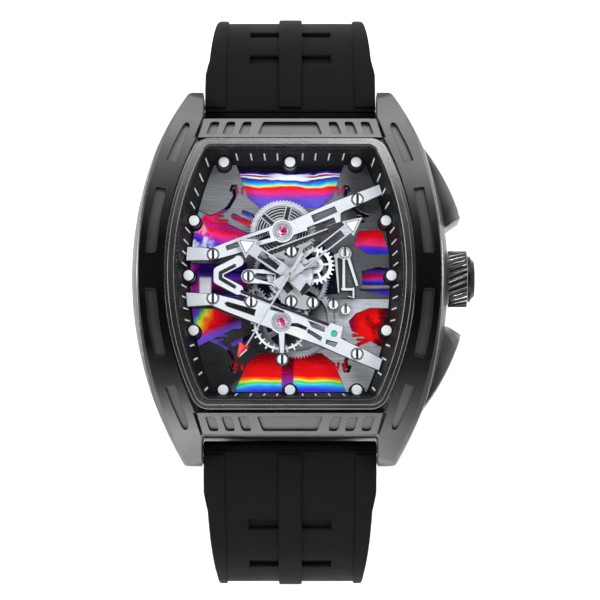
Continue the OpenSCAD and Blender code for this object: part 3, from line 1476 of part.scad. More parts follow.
module spring_bars() {
  color([0.7, 0.7, 0.72]) for (s = [-1, 1]) translate([-bar_reach, s * bar_y, bar_z]) rotate([0, 90, 0])
    cylinder(d = bar_d, h = 2 * bar_reach);
}

module buckle_frame() {
  w = buckle_in_w / 2 + buckle_arm;
  y0 = buckle_y - buckle_len;
  color([0.2, 0.2, 0.21]) difference() {
    slab(band_z - buckle_t / 2, band_z + buckle_t / 2) {
      translate([-w, y0]) square([2 * w, buckle_len + 1]);
      for (s = [-1, 1]) translate([s * (w - buckle_arm / 2), buckle_y + 1]) circle(d = buckle_arm);
    }
    slab(band_z - 5, band_z + 5) translate([-buckle_in_w / 2, y0 + 1.8]) square([buckle_in_w, 20]);
    slab(band_z + buckle_t / 2 - 0.5, band_z + 5)
      translate([-tongue_w / 2 - 0.15, y0 - 1]) square([tongue_w + 0.3, 4]);
    bar_bore(buckle_bar_r + 0.02);
  }
}

module buckle_bar() {
  w = buckle_in_w / 2 + buckle_arm - 0.3;
  color([0.6, 0.6, 0.62]) translate([-w, buckle_y, band_z]) rotate([0, 90, 0])
    cylinder(r = buckle_bar_r, h = 2 * w);
}

module buckle_tongue() {
  r = buckle_bar_r + 0.55;
  z0 = band_z + buckle_t / 2 - 0.45;
  color([0.2, 0.2, 0.21]) difference() {
    union() {
      across(-tongue_w / 2, tongue_w / 2) {
        translate([buckle_y, band_z]) circle(r);
        translate([buckle_y - buckle_len + 0.2, z0]) square([buckle_len - 0.2, 0.9]);
      }
    }
    bar_bore(buckle_bar_r + run);
  }
}

// Keeper loop round the strap at an angle on the bend
module keeper(a) {
  w = strap_w_end / 2 + keeper_room;
  h0 = -strap_t / 2 - keeper_room;
  h1 = keeper_pocket + strap_t / 2;
  translate([0, flat_y, bend_z]) rotate([a, 0, 0]) translate([0, loop_r, -keeper_w / 2]) linear_extrude(keeper_w)
    difference() {
      translate([-w - keeper_t, h0 - keeper_t]) square([2 * (w + keeper_t), h1 - h0 + 2 * keeper_t]);
      translate([-w, h0]) square([2 * w, h1 - h0]);
    }
}

module fixed_keeper() {
  color([0.1, 0.1, 0.1]) keeper(fixed_keeper_a);
}

module sliding_keeper() {
  color([0.1, 0.1, 0.1]) keeper(sliding_keeper_a);
}

mid_case();
case_back();
case_back_screws();
case_back_gasket();
back_crystal();
rail(-1);  // left_rail
rail(1);  // right_rail
end_plate(1);  // end_plate_12
end_plate(-1);  // end_plate_6
bezel();
crystal();
crystal_gasket();
chapter_ring();
minute_ticks();
hour_studs();
lume_dots();
crown_tube();
crown();
winding_stem();
crown_gasket();
setting_yoke();
pusher(1);  // pusher_2
pusher(-1);  // pusher_4
movement_ring();
film_plate();
main_plate();
barrel();
mainspring();
centre_wheel();
third_wheel();
fourth_wheel();
escape_wheel();
pallet_fork();
balance_wheel();
hairspring();
balance_cock();
minute_wheel();
hour_wheel();
barrel_bridge();
balance_bridge();
train_bridge();
chevron_bridge();
setting_spring();
bridge_screws();
jewels();
hour_hand();
minute_hand();
seconds_hand();
automatic_bridge();
rotor();
rotor_bearing();
strap_12();
strap_6();
spring_bars();
buckle_frame();
buckle_bar();
buckle_tongue();
fixed_keeper();
sliding_keeper();
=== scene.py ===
"""Looks of an open-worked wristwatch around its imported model, in metres."""
import json
import math

import bmesh
import bpy
from mathutils import Matrix, Vector


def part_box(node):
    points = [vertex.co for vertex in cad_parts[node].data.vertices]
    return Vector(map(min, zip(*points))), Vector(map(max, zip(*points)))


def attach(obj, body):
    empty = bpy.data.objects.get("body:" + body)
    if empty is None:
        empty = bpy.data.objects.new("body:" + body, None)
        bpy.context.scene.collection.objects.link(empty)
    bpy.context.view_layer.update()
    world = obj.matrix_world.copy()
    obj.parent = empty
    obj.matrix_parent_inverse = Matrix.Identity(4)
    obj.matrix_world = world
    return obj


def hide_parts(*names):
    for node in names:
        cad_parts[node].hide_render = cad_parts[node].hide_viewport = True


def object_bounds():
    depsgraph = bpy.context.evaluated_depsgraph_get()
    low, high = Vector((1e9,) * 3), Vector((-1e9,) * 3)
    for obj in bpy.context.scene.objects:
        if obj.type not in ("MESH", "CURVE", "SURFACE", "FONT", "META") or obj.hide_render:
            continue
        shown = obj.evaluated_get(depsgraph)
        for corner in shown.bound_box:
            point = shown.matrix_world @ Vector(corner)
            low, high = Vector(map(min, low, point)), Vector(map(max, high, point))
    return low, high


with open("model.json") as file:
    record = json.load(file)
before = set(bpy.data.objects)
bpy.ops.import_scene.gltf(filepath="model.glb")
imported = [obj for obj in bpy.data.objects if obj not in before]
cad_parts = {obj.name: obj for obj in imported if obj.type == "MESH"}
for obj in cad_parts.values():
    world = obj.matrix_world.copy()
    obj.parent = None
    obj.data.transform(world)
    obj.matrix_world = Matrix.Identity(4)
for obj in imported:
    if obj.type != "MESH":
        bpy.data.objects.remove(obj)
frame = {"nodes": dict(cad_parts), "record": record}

bl_info = {
    "name": "Open-worked wristwatch",
    "version": (1, 0, 0),
    "blender": (4, 5, 0),
    "location": "3D View > Sidebar > Watch",
    "description": "Dresses the packed wristwatch with finishes and small pieces",
    "category": "Object",
}

MM = 0.001
CAD_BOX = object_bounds()
BODY_OF = {n: b for b, ns in frame["record"]["behaviour"]["bodies"].items() for n in ns}
DIAL_Z = 10.05 * MM
JOBS = ("stage", "case", "controls", "dial_ring", "crystal", "plates", "wheels", "bridges",
        "jewels_and_screws", "hands", "strap", "buckle", "back")

# The photograph in dots: its width, its scale at the dial, and how far left of
# and above the picture's middle it shows the dial's middle
PICTURE_WIDTH = 600
DOTS_PER_MM = 7.2
DIAL_LEFT = 10
DIAL_ABOVE = 24.5

# Lamps in metres and watts: name, place, size and power of the soft boxes, then four small high ones
BOX_LAMPS = (
    ("box_12", (0, 0.85, 0.5), (1.2, 0.4), 6),
    ("box_6", (0, -0.9, 0.45), (1.2, 0.4), 7),
    ("box_left", (-0.9, 0.1, 0.5), (0.4, 1.0), 4),
    ("box_right", (0.9, -0.1, 0.5), (0.4, 1.0), 3))
HIGH_LAMPS = ((0.62, 0.2, 0.8), (-0.62, 0.2, 0.8), (0.2, 0.66, 0.8), (-0.2, -0.7, 0.8))
HIGH_SIZE = (0.25, 0.25)
HIGH_WATTS = 3.7

# Places and sizes in millimetres, from the dial's middle: x to 3 o'clock, y to 12 o'clock.
# Names that end in H give a top, and in Z a foot and a top, up from the top of the piece that
# they are added to. For the bands, the block and the stone that is the balance bridge
CROWN_CAP_X = 24.75
# How deep most added pieces reach into what carries them
SINK = 0.05
# Both ends of a black band of painted shade at a bridge's edge, and how far beside it its rail, a painted
# highlight, runs
BRIDGE_SHADE_BANDS = (((-3.4, 2.95), (5.3, 6.2), 0.36), ((-6.85, -2.2), (5.4, -6.95), -0.36))
SHADE_BAND_W = 0.42
BAND_H = 0.04
HIGHLIGHT_RAIL_W = 0.14
HIGHLIGHT_RAIL_H = 0.05
# Black fill of painted shade in the chevron's groove: its line, width, and foot and top
CHEVRON_GROOVE_SHADE = ((-7.7, 1.35), (-9.65, 0.35), (-9.65, -0.45), (-7.7, -1.6))
CHEVRON_GROOVE_SHADE_W = 0.34
CHEVRON_GROOVE_SHADE_Z = (-0.31, -0.12)
CREAM_BLOCK = ((0.55, -7.55), (2.4, -7.85), (1.75, -9.0), (0.25, -8.25))
GREEN_STONE = (5.98, -8.2)
GREEN_STONE_R = 0.36
GREEN_STONE_Z = (-0.3, 0.04)
# Black sheets of painted shade on the centre bridge, where its gaps are
TRAIN_BRIDGE_GAP_SHADES = (
    ((-4.2, 2.2), (-3.1, 2.4), (-0.5, 0.75), (-2.3, -0.3)),
    ((-1.9, -0.5), (-0.4, -2.6), (0.5, -1.9), (-0.6, -0.3)),
    ((0.3, -0.4), (1.7, -2.9), (2.9, -1.6), (1.0, 0.2)),
    ((0.2, 1.0), (1.4, 3.0), (2.0, 2.7), (0.7, 0.6)))
GAP_SHADE_H = 0.015
# A jewel's radius, and its setting's outline: distance out from the jewel, and height
JEWEL_R = 0.66
JEWEL_SETTING = ((0, -0.06), (0, 0.03), (0.08, 0.07), (0.42, 0.07), (0.5, 0.02), (0.5, -0.06))
SLOT_HALF = 0.68
SLOT_W = 0.2
SLOT_Z = (-0.06, 0.01)

# Barrel's face: radii, widths, heights, and the angles of its spokes in degrees
BARREL_HUB = (1.5, 2.15)
BARREL_HUB_H = 0.035
# Black disc of painted shade inside the barrel: radii, then foot and top
BARREL_WELL_SHADE = (1.5, 3.75)
BARREL_WELL_SHADE_Z = (-0.1, 0.01)
BARREL_COILS = (2.35, 2.75, 3.15, 3.52)
COIL_W = 0.13
BARREL_RIMS = ((3.76, 4.06), (4.14, 4.46))
BARREL_LINE_H = 0.03
BARREL_SPOKES = (76, 139, 200, 262, 8)
# Inner end, outer end, width and top of a spoke and of its slot
SPOKE = (1.6, 3.8, 0.84, 0.045)
SPOKE_SLOT = (1.75, 3.68, 0.54, 0.06)

# Arrow heads of two hands: name, body, degrees from 12 o'clock, width, length, reach of the tip
ARROW_HEADS = (("hour", "hours", 304.3, 3.2, 2.75, 9.1), ("minute", "minutes", 51.5, 2.7, 2.7, 12.9))
# Share of the arrow head, and thickness, of its border and its inlay
HEAD_BORDER = (0.68, 0.06)
HEAD_INLAY = (0.58, 0.08)
SECONDS_HUB_R = 0.2
SECONDS_HUB_Z = (-0.1, 0.02)
SECONDS_ARROW = ((-7.3, -11.65), (-5.6, -10.1), (-6.2, -9.95), (-6.95, -9.45))
SECONDS_PEAK = (-6.35, -10.2)
SECONDS_ARROW_Z = (-0.2, 0.12)


# Settings

class WatchStage(bpy.types.PropertyGroup):
    """Camera, lamps and floor."""
    elevation: bpy.props.FloatProperty(
        name="Camera elevation", description="Angle of the camera above the horizon",
        default=math.radians(82), subtype="ANGLE", unit="ROTATION")
    distance: bpy.props.FloatProperty(
        name="Camera distance", description="From the camera to the middle of the dial",
        default=0.42, subtype="DISTANCE", unit="LENGTH")
    floor_colour: bpy.props.FloatVectorProperty(
        name="Floor colour", description="Colour of the plain floor", size=3,
        default=(0.9, 0.9, 0.9), min=0, max=1, subtype="COLOR")
    lamp_power: bpy.props.FloatProperty(
        name="Lamp power", description="Multiplies the power of all lamps", default=1.0, min=0)


class WatchMetal(bpy.types.PropertyGroup):
    """Finish of the case metals."""
    gunmetal: bpy.props.FloatVectorProperty(
        name="Gunmetal", description="Colour of the coated case", size=3,
        default=(0.075, 0.075, 0.078), min=0, max=1, subtype="COLOR")
    plate_grey: bpy.props.FloatVectorProperty(
        name="End plates", description="Colour of the grey covers and the bezel", size=3,
        default=(0.086, 0.086, 0.088), min=0, max=1, subtype="COLOR")
    edge: bpy.props.FloatProperty(
        name="Edge width", description="Width of the broken edges of the case",
        default=0.09 * MM, subtype="DISTANCE", unit="LENGTH")


class WatchDial(bpy.types.PropertyGroup):
    """Finish of the dial side."""
    bridge: bpy.props.FloatVectorProperty(
        name="Bridges", description="Colour of the bright bridges", size=3,
        default=(0.82, 0.82, 0.83), min=0, max=1, subtype="COLOR")
    lume: bpy.props.FloatVectorProperty(
        name="Dots", description="Colour of the luminous dots", size=3,
        default=(0.9, 0.9, 0.88), min=0, max=1, subtype="COLOR")
    # Painted light: the film's colours shine by themselves though it is no lamp
    film_painted_glow: bpy.props.FloatProperty(
        name="Film glow", description="How much the film's colours shine by themselves",
        default=0.45, min=0)
    edge: bpy.props.FloatProperty(
        name="Edge width", description="Width of the broken edges in the movement",
        default=0.08 * MM, subtype="DISTANCE", unit="LENGTH")


class WatchStrap(bpy.types.PropertyGroup):
    """Finish of the strap."""
    rubber: bpy.props.FloatVectorProperty(
        name="Rubber", description="Colour of the strap", size=3,
        default=(0.004, 0.004, 0.0042), min=0, max=1, subtype="COLOR")
    grain: bpy.props.FloatProperty(
        name="Grain", description="Size of the moulded grain",
        default=0.16 * MM, subtype="DISTANCE", unit="LENGTH")
    edge: bpy.props.FloatProperty(
        name="Edge width", description="Width of the strap's rounded edges",
        default=0.22 * MM, subtype="DISTANCE", unit="LENGTH")


# Shader maths and finishes

class Val:
    """A value in a shader. Arithmetic on it adds Math nodes to its material."""

    def __init__(self, paint, socket):
        self.paint = paint
        self.socket = socket

    def math(self, operation, *others):
        return self.paint.node("ShaderNodeMath", {"operation": operation}, [self, *others])

    def __add__(self, other):
        return self.math("ADD", other)

    def __radd__(self, other):
        return self.math("ADD", other)

    def __sub__(self, other):
        return self.math("SUBTRACT", other)

    def __rsub__(self, other):
        return self.paint.node("ShaderNodeMath", {"operation": "SUBTRACT"}, [other, self])

    def __mul__(self, other):
        return self.math("MULTIPLY", other)

    def __rmul__(self, other):
        return self.math("MULTIPLY", other)

    def __truediv__(self, other):
        return self.math("DIVIDE", other)

    def __rtruediv__(self, other):
        return self.paint.node("ShaderNodeMath", {"operation": "DIVIDE"}, [other, self])

    def __abs__(self):
        return self.math("ABSOLUTE")

    def __gt__(self, other):
        return self.math("GREATER_THAN", other)

    def __lt__(self, other):
        return self.math("LESS_THAN", other)

    def between(self, low, high, soft=0.05):
        """1 between two values and 0 outside, with soft ends."""
        up = self.paint.ramp_value(self, low - soft, low + soft)
        down = self.paint.ramp_value(self, high - soft, high + soft)
        return up * (1 - down)


def opaque(colour):
    """A colour as a shader socket takes it: a value as it is, or three numbers and full alpha."""
    return colour if isinstance(colour, Val) else (*colour, 1)


def scaled(colour, share):
    """A colour made lighter or darker, worked out in Python."""
    return tuple(c * share for c in colour)


class Nodes:
    """The nodes of one material or sky."""

    def __init__(self, tree):
        self.tree = tree
        self.tree.nodes.clear()

    def node(self, kind, settings=None, inputs=None, out=0):
        """Adds a node: first its settings, then the values or links of its sockets."""
        made = self.tree.nodes.new(kind)
        for key, value in (settings or {}).items():
            if key == "stops":
                ramp = made.color_ramp
                while len(ramp.elements) < len(value):
                    ramp.elements.new(0.5)
                for element, (place, colour) in zip(ramp.elements, value):
                    element.position = place
                    element.color = (*colour, 1)
            else:
                setattr(made, key, value)
        pairs = inputs.items() if isinstance(inputs, dict) else enumerate(inputs or [])
        for key, value in pairs:
            if isinstance(value, Val):
                self.tree.links.new(value.socket, made.inputs[key])
            else:
                made.inputs[key].default_value = value
        return Val(self, made.outputs[out])

    def noise(self, vector, detail=2.0, rough=0.5):
        return self.node("ShaderNodeTexNoise", None,
                         {"Vector": vector, "Scale": 1.0, "Detail": detail, "Roughness": rough})

    def xyz(self, vector):
        made = self.node("ShaderNodeSeparateXYZ", None, [vector])
        return [Val(self, made.socket.node.outputs[i]) for i in range(3)]

    def ramp_value(self, value, low, high, to_low=0.0, to_high=1.0):
        return self.node("ShaderNodeMapRange", None, {
            "Value": value, "From Min": low, "From Max": high, "To Min": to_low, "To Max": to_high})

    def ramp(self, value, stops):
        return self.node("ShaderNodeValToRGB", {"stops": stops}, [value])

    def mix(self, factor, a, b, mode="MIX"):
        """Colour a under colour b."""
        return self.node("ShaderNodeMix", {"data_type": "RGBA", "blend_type": mode},
                         {0: factor, 6: opaque(a), 7: opaque(b)}, out=2)

    def shaded(self, colour, shade):
        """A colour made lighter or darker by a value."""
        grey = self.node("ShaderNodeCombineXYZ", None, [shade, shade, shade])
        return self.mix(1.0, colour, grey, "MULTIPLY")

    def bump(self, height, strength, distance):
        return self.node("ShaderNodeBump", None,
                         {"Height": height, "Strength": strength, "Distance": distance})

    def output(self, shader, kind="ShaderNodeOutputMaterial"):
        out = self.tree.nodes.new(kind)
        self.tree.links.new(shader.socket, out.inputs[0])


class Paint(Nodes):
    """One material of the watch or the floor."""

    def __init__(self, name):
        self.material = bpy.data.materials.new(name)
        self.material.use_nodes = True
        super().__init__(self.material.node_tree)
        self.position = self.node("ShaderNodeTexCoord", out="Object")

    def placed(self, scale, turn=(0, 0, 0), at=(0, 0, 0)):
        """Object position moved, turned and scaled."""
        return self.node("ShaderNodeMapping", None,
                         {"Vector": self.position, "Location": at, "Rotation": turn, "Scale": scale})

    def millimetres(self):
        """The three parts of the object position, in millimetres."""
        return self.xyz(self.placed((1000, 1000, 1000)))

    def finish(self, colour, **sockets):
        """Ends the material in one Principled shader and returns the material."""
        self.output(self.node("ShaderNodeBsdfPrincipled", None, {"Base Color": opaque(colour), **sockets}))
        return self.material


MADE = {}


def once(maker):
    """Keeps each finish so that it is made once under its name."""
    def get(name, *args, **kwargs):
        if name not in MADE:
            MADE[name] = maker(name, *args, **kwargs)
        return MADE[name]
    return get


@once
def brushed_metal(name, colour, metallic=1.0, rough=0.36, turn=0.0, streak=0.09 * MM, depth=0.25,
                  spread=0.25):
    """Metal brushed in one direction across the dial plane."""
    p = Paint(name)
    along = p.placed((1 / (40 * streak), 1 / streak, 1 / (3 * streak)), (0, 0, turn))
    lines = p.noise(along, 3.0, 0.6)
    cloud = p.noise(p.placed((90, 90, 90)))
    shade = p.ramp_value(lines + (cloud - 0.5) * 0.35, 0.25, 0.75, 1 - spread, 1 + spread)
    return p.finish(p.shaded(colour, shade), Metallic=metallic,
                    Roughness=p.ramp_value(lines, 0.2, 0.8, rough * 0.8, rough * 1.2),
                    Normal=p.bump(lines, depth, 0.01 * MM))


@once
def blasted_metal(name, colour, rough, depth=0.15, middle=1.0):
    """Satin coated metal with a very fine even grain, painted darker or lighter halfway along the case as a
    painted reflection.
    """
    p = Paint(name)
    specks = p.noise(p.placed((1 / (0.07 * MM),) * 3), rough=0.6)
    cloud = p.noise(p.placed((160, 160, 160)), 3.0)
    shade = p.ramp_value(specks * 0.4 + cloud * 0.6, 0.3, 0.7, 0.88, 1.12)
    # Painted reflection: darker or lighter halfway along the case, by y
    if middle != 1:
        y = p.millimetres()[1]
        shade = shade * p.ramp_value(y * y, 20.0, 480.0, middle, 1.0)
    return p.finish(p.shaded(colour, shade), Metallic=1.0,
                    Roughness=p.ramp_value(cloud, 0.3, 0.7, rough * 0.9, rough * 1.12),
                    Normal=p.bump(specks, depth, 0.006 * MM))


@once
def polished_metal(name, colour, metallic=1.0, rough=0.16):
    """Polished metal with faint wipe marks."""
    p = Paint(name)
    wipes = p.noise(p.placed((900, 2600, 900)))
    return p.finish(p.mix(p.ramp_value(wipes, 0.3, 0.7), scaled(colour, 0.93), colour),
                    Metallic=metallic, Roughness=p.ramp_value(wipes, 0.3, 0.7, rough * 0.8, rough * 1.3))


@once
def matt_paint(name, colour, rough=0.5, sheen=0.5):
    """Even matt print, paint or plastic."""
    p = Paint(name)
    specks = p.noise(p.placed((1 / (0.05 * MM),) * 3))
    tone = p.mix(p.ramp_value(specks, 0.35, 0.65), scaled(colour, 0.94), colour)
    return p.finish(tone, Roughness=p.ramp_value(specks, 0.3, 0.7, rough * 0.9, rough * 1.1),
                    Normal=p.bump(specks, 0.08, 0.004 * MM), **{"Specular IOR Level": sheen})


@once
def moulded_rubber(name, colour, grain):
    """Moulded rubber with a fine grain and faint handling marks."""
    rough = 0.62
    p = Paint(name)
    pits = p.node("ShaderNodeTexVoronoi", {"feature": "SMOOTH_F1"},
                  {"Vector": p.placed((1 / grain,) * 3), "Scale": 1.0, "Smoothness": 0.6})
    cloud = p.noise(p.placed((220, 220, 220)), 3.0)
    tone = p.mix(p.ramp_value(cloud, 0.35, 0.7), scaled(colour, 0.85), scaled(colour, 1.15))
    wear = p.ramp_value(cloud + pits * 0.2, 0.3, 0.9, rough * 0.88, rough * 1.15)
    return p.finish(tone, Roughness=wear, Normal=p.bump(pits, 0.2, 0.015 * MM),
                    **{"Specular IOR Level": 0.045})


@once
def clear_crystal(name):
    """Clear crystal: mostly see-through, with a reflection at its surface."""
    p = Paint(name)
    see = p.node("ShaderNodeBsdfTransparent", None, {"Color": (0.97, 0.985, 1.0, 1)})
    gloss = p.node("ShaderNodeBsdfPrincipled", None,
                   {"Base Color": (1, 1, 1, 1), "Metallic": 1.0, "Roughness": 0.03})
    rim = p.node("ShaderNodeFresnel", None, {"IOR": 1.45})
    smudge = p.noise(p.placed((120, 120, 120)), 3.0)
    share = rim * 0.5 * p.ramp_value(smudge, 0.3, 0.7, 0.85, 1.1)
    p.output(p.node("ShaderNodeMixShader", None, [share, see, gloss]))
    return p.material


@once
def ruby_glass(name, colour):
    """Polished synthetic ruby, painted with bright and dark cells inside as glints and shade."""
    p = Paint(name)
    cells = p.node("ShaderNodeTexVoronoi", None,
                   {"Vector": p.placed((1 / (0.34 * MM),) * 3), "Scale": 1.0}, out="Color")
    # Painted glints: the brightest cells near white, the darkest a painted shade
    light = p.ramp(p.xyz(cells)[0], [
        (0.0, scaled(colour, 0.35)), (0.45, colour), (0.75, (0.95, 0.55, 0.68)), (1.0, (1.0, 0.9, 0.93))])
    return p.finish(light, Roughness=0.08, **{"Specular IOR Level": 0.7, "Coat Weight": 0.6})


NAVY = (0.006, 0.0, 0.09)
BLUE = (0.02, 0.035, 0.7)
AZURE = (0.04, 0.2, 0.85)
VIOLET = (0.18, 0.03, 0.5)
MAGENTA = (0.5, 0.02, 0.4)
PINK = (0.95, 0.03, 0.2)
RED = (0.9, 0.004, 0.006)
ORANGE = (1.0, 0.2, 0.01)
YELLOW = (0.95, 0.85, 0.05)
GREEN = (0.04, 0.7, 0.1)
CYAN = (0.05, 0.75, 0.8)
WHITE = (0.95, 0.95, 1.0)
BLACK = (0.004, 0.002, 0.008)


class FilmPaint(Paint):
    """Iridescent film. Its places are in millimetres, one method an opening in the plate."""

    def __init__(self, name):
        super().__init__(name)
        self.x, self.y, _ = self.millimetres()
        self.wave = self.noise(self.placed((260, 420, 1))) - 0.5
        self.swirl = self.noise(self.placed((330, 330, 1), at=(0.7, 0.2, 0)), 4.0, 0.62)
        self.blot = self.noise(self.placed((520, 460, 1), at=(3.1, 1.4, 0)), 3.0, 0.55)
        self.bow = self.x * self.x * 0.018

    def bands(self, value, stops):
        """Colours along a value, each at its own height."""
        low = stops[0][0]
        span = stops[-1][0] - low
        return self.ramp((value - low) / span, [((v - low) / span, c) for v, c in stops])

    def top(self, x, y):
        """Opening at 12: a rainbow under a white line, and a blue hollow behind the barrel."""
        height = y + self.wave * 1.2 - self.bow * 0.3
        under = [(9.4, VIOLET), (10.9, (0.1, 0.1, 0.62)), (11.8, (0.3, 0.05, 0.5)), (12.3, PINK),
                 (13.05, RED), (13.25, YELLOW), (13.45, CYAN), (13.7, AZURE)]
        above = [(13.95, BLUE), (14.05, NAVY), (14.15, WHITE), (14.95, WHITE), (15.1, BLUE), (15.2, BLACK)]
        core = self.bands(height, under + above + [(15.4, BLACK)])
        sides = self.bands(height, under + [
            (14.2, NAVY), (14.3, WHITE), (14.45, WHITE), (14.55, NAVY), (14.68, RED), (14.78, WHITE),
            (14.86, BLUE), (15.1, BLACK), (15.4, BLACK)])
        tone = self.mix(self.ramp_value(abs(x + 0.1), 1.5, 3.2), core, sides)
        hollow = self.ramp_value(x * x + (y - 8.9) * (y - 8.9) * 1.9, 12.0, 16.5, 0.85, 0.0)
        return self.mix(hollow * (y < 12.9), tone, (0.09, 0.07, 0.5))

    def bottom(self, x, y):
        """Opening at 6: a rainbow under red, with a dark streak in the middle."""
        rainbow = self.bands(y + self.wave * 0.9 + self.bow * 0.35, [
            (-16.4, VIOLET), (-15.9, (0.12, 0.02, 0.55)), (-15.5, BLUE), (-15.05, AZURE), (-14.7, CYAN),
            (-14.4, GREEN), (-14.15, YELLOW), (-13.9, ORANGE), (-13.55, RED), (-12.2, RED),
            (-11.2, (0.45, 0.0, 0.004)), (-10.4, (0.2, 0.0, 0.004))])
        streak = self.bands(y, [
            (-16.4, (0.2, 0.05, 0.6)), (-14.6, (0.22, 0.03, 0.42)), (-13.4, (0.3, 0.0, 0.06)),
            (-12.0, (0.12, 0.0, 0.005)), (-11.0, (0.1, 0, 0))])
        return self.mix(abs(x + 0.35).between(-1, 0.85, 0.12), rainbow, streak)

    def upper_left(self, x, y):
        """Opening at 10: blue swirls into red, with white and light blue at its corner."""
        tone = self.bands((y - 3.5) * 0.6 + (x + 9) * 0.12 + self.swirl * 1.7, [
            (0.3, (0.03, 0.02, 0.6)), (1.0, BLUE), (1.4, (0.05, 0.01, 0.3)), (1.75, BLUE), (2.1, MAGENTA),
            (2.45, PINK), (2.8, RED), (3.1, MAGENTA), (3.4, RED), (3.8, PINK), (4.2, RED),
            (4.6, (0.1, 0.1, 0.7))])
        corner = self.ramp_value(x + (y - 5) * 0.6, -11.4, -10.2, 1, 0)
        tone = self.mix(corner * self.ramp_value(self.blot, 0.42, 0.56), tone, WHITE)
        tip = self.ramp_value(x - (y - 8) * 0.8, -13.6, -12.8, 1, 0)
        return self.mix(tip * (y > 8.0), tone, (0.2, 0.7, 0.9))

    def middle_left(self, x, y):
        """Opening at 9: dark blue with a white patch and a magenta edge."""
        tone = self.bands(y + self.swirl * 1.4 + self.blot * 0.8, [
            (-2.6, BLUE), (-1.6, (0.02, 0.03, 0.35)), (-0.6, BLACK), (0.5, (0.2, 0.0, 0.1)),
            (1.2, (0.1, 0.02, 0.3)), (2.2, NAVY), (3.4, (0.02, 0.0, 0.1))])
        tone = self.mix(x.between(-12.7, -11.1, 0.12) * y.between(-2.2, 0.3, 0.2), tone, WHITE)
        return self.mix(x.between(-14.4, -12.8, 0.15) * self.ramp_value(self.blot, 0.4, 0.6), tone, MAGENTA)

    def lower_left(self, x, y):
        """Opening at 8: a rainbow across, over violet."""
        tone = self.bands((x + 14) * 0.42 - (y + 7) * 0.22 + self.blot * 1.1, [
            (0.2, VIOLET), (0.55, (0.1, 0.08, 0.7)), (0.75, GREEN), (0.95, YELLOW), (1.2, ORANGE),
            (1.5, RED), (2.2, (0.5, 0.0, 0.01)), (2.7, (0.1, 0, 0.01)), (3.4, BLACK)])
        return self.mix(self.ramp_value(y + (x + 13) * -0.35, -8.6, -7.6, 1, 0), tone, (0.16, 0.08, 0.62))

    def upper_right(self, y):
        """Opening at 2: blue into red."""
        return self.bands(y + self.wave * 1.6 + self.blot * 0.6, [
            (3.4, (0.02, 0.02, 0.4)), (4.3, BLUE), (4.95, VIOLET), (5.3, PINK), (6.4, RED),
            (7.6, (0.5, 0.0, 0.02))])

    def middle_right(self, y):
        """Opening at 3: blue and red lines on black."""
        return self.bands(y + self.wave * 0.5, [
            (-2.4, BLUE), (-1.75, (0.05, 0.02, 0.5)), (-1.35, BLACK), (-0.9, (0.3, 0.28, 0.35)),
            (-0.6, BLACK), (-0.2, BLUE), (0.2, (0.55, 0.01, 0.03)), (0.7, (0.3, 0.0, 0.05)),
            (1.1, (0.06, 0.02, 0.3)), (1.6, BLACK)])

    def lower_right(self, x):
        """Opening at 4: red blots on dark violet."""
        return self.bands((x - 9) * 0.3 + self.blot * 2.2, [
            (0.3, (0.12, 0.02, 0.25)), (0.8, (0.4, 0.0, 0.03)), (1.15, RED), (1.75, RED),
            (2.1, (0.25, 0, 0.0)), (2.6, BLACK)])

    def rest(self):
        """What shows between the openings: nearly black."""
        return self.bands(self.swirl * 2.2 + self.blot, [
            (0.8, BLACK), (1.6, (0.004, 0.004, 0.01)), (1.85, (0.02, 0.005, 0.05)),
            (2.4, (0.01, 0.01, 0.06))])


@once
def film_colours(name, painted_glow):
    """Iridescent film: soft bands of colour, a different set behind each opening; the colours also shine by
    themselves as painted light.
    """
    p = FilmPaint(name)
    x, y = p.x, p.y
    right = x > 8.3
    tone = p.rest()
    openings = (
        ((x < -5.2) * y.between(4.0, 9.95), p.upper_left(x, y)),
        ((x < -5.9) * y.between(-2.9, 2.6), p.middle_left(x, y)),
        ((x < -6.6) * y.between(-9.9, -4.1), p.lower_left(x, y)),
        (right * y.between(3.2, 7.4), p.upper_right(y)),
        (right * y.between(-2.6, 2.0), p.middle_right(y)),
        (right * y.between(-10.2, -4.1), p.lower_right(x)),
        ((y > 9.7) * x.between(-7.6, 7.6), p.top(x, y)),
        ((y < -10.3) * x.between(-7.9, 7.9), p.bottom(x, y)))
    for place, colour in openings:
        tone = p.mix(place, tone, colour)
    ripple = p.noise(p.placed((500, 2500, 500)))
    return p.finish(tone, Roughness=p.ramp_value(ripple, 0.3, 0.7, 0.16, 0.3),
                    Normal=p.bump(ripple, 0.12, 0.02 * MM),
                    **{"Emission Color": tone, "Emission Strength": painted_glow, "Coat Weight": 0.4})


@once
def plate_metal(name):
    """Brushed main plate, painted lighter at the upper left and lower right corners as a painted
    reflection.
    """
    p = Paint(name)
    x, y, _ = p.millimetres()
    along = p.placed((1 / (4 * MM), 1 / (0.11 * MM), 400), (0, 0, math.radians(48)))
    lines = p.noise(along, 3.0, 0.6)
    # Painted reflection: by place, lighter at the upper left and lower right, darker at the lower left and
    # upper right
    tone = p.ramp(p.ramp_value(y - x * 0.35, -17, 17), [(place, (v, v, v)) for place, v in (
        (0.0, 0.012), (0.28, 0.016), (0.5, 0.045), (0.75, 0.24), (1.0, 0.3))])
    tone = p.mix(p.ramp_value(x * 0.9 - y, 7.5, 12.5), tone, (0.62, 0.62, 0.63))
    tone = p.mix(p.ramp_value(x - y * 0.1, 4.5, 7.5) * (y > -3.0), tone, (0.1, 0.1, 0.102))
    tone = p.shaded(tone, p.ramp_value(lines, 0.3, 0.7, 0.66, 1.36))
    return p.finish(tone, Metallic=0.35, Roughness=p.ramp_value(lines, 0.2, 0.8, 0.32, 0.5),
                    Normal=p.bump(lines, 0.25, 0.01 * MM))


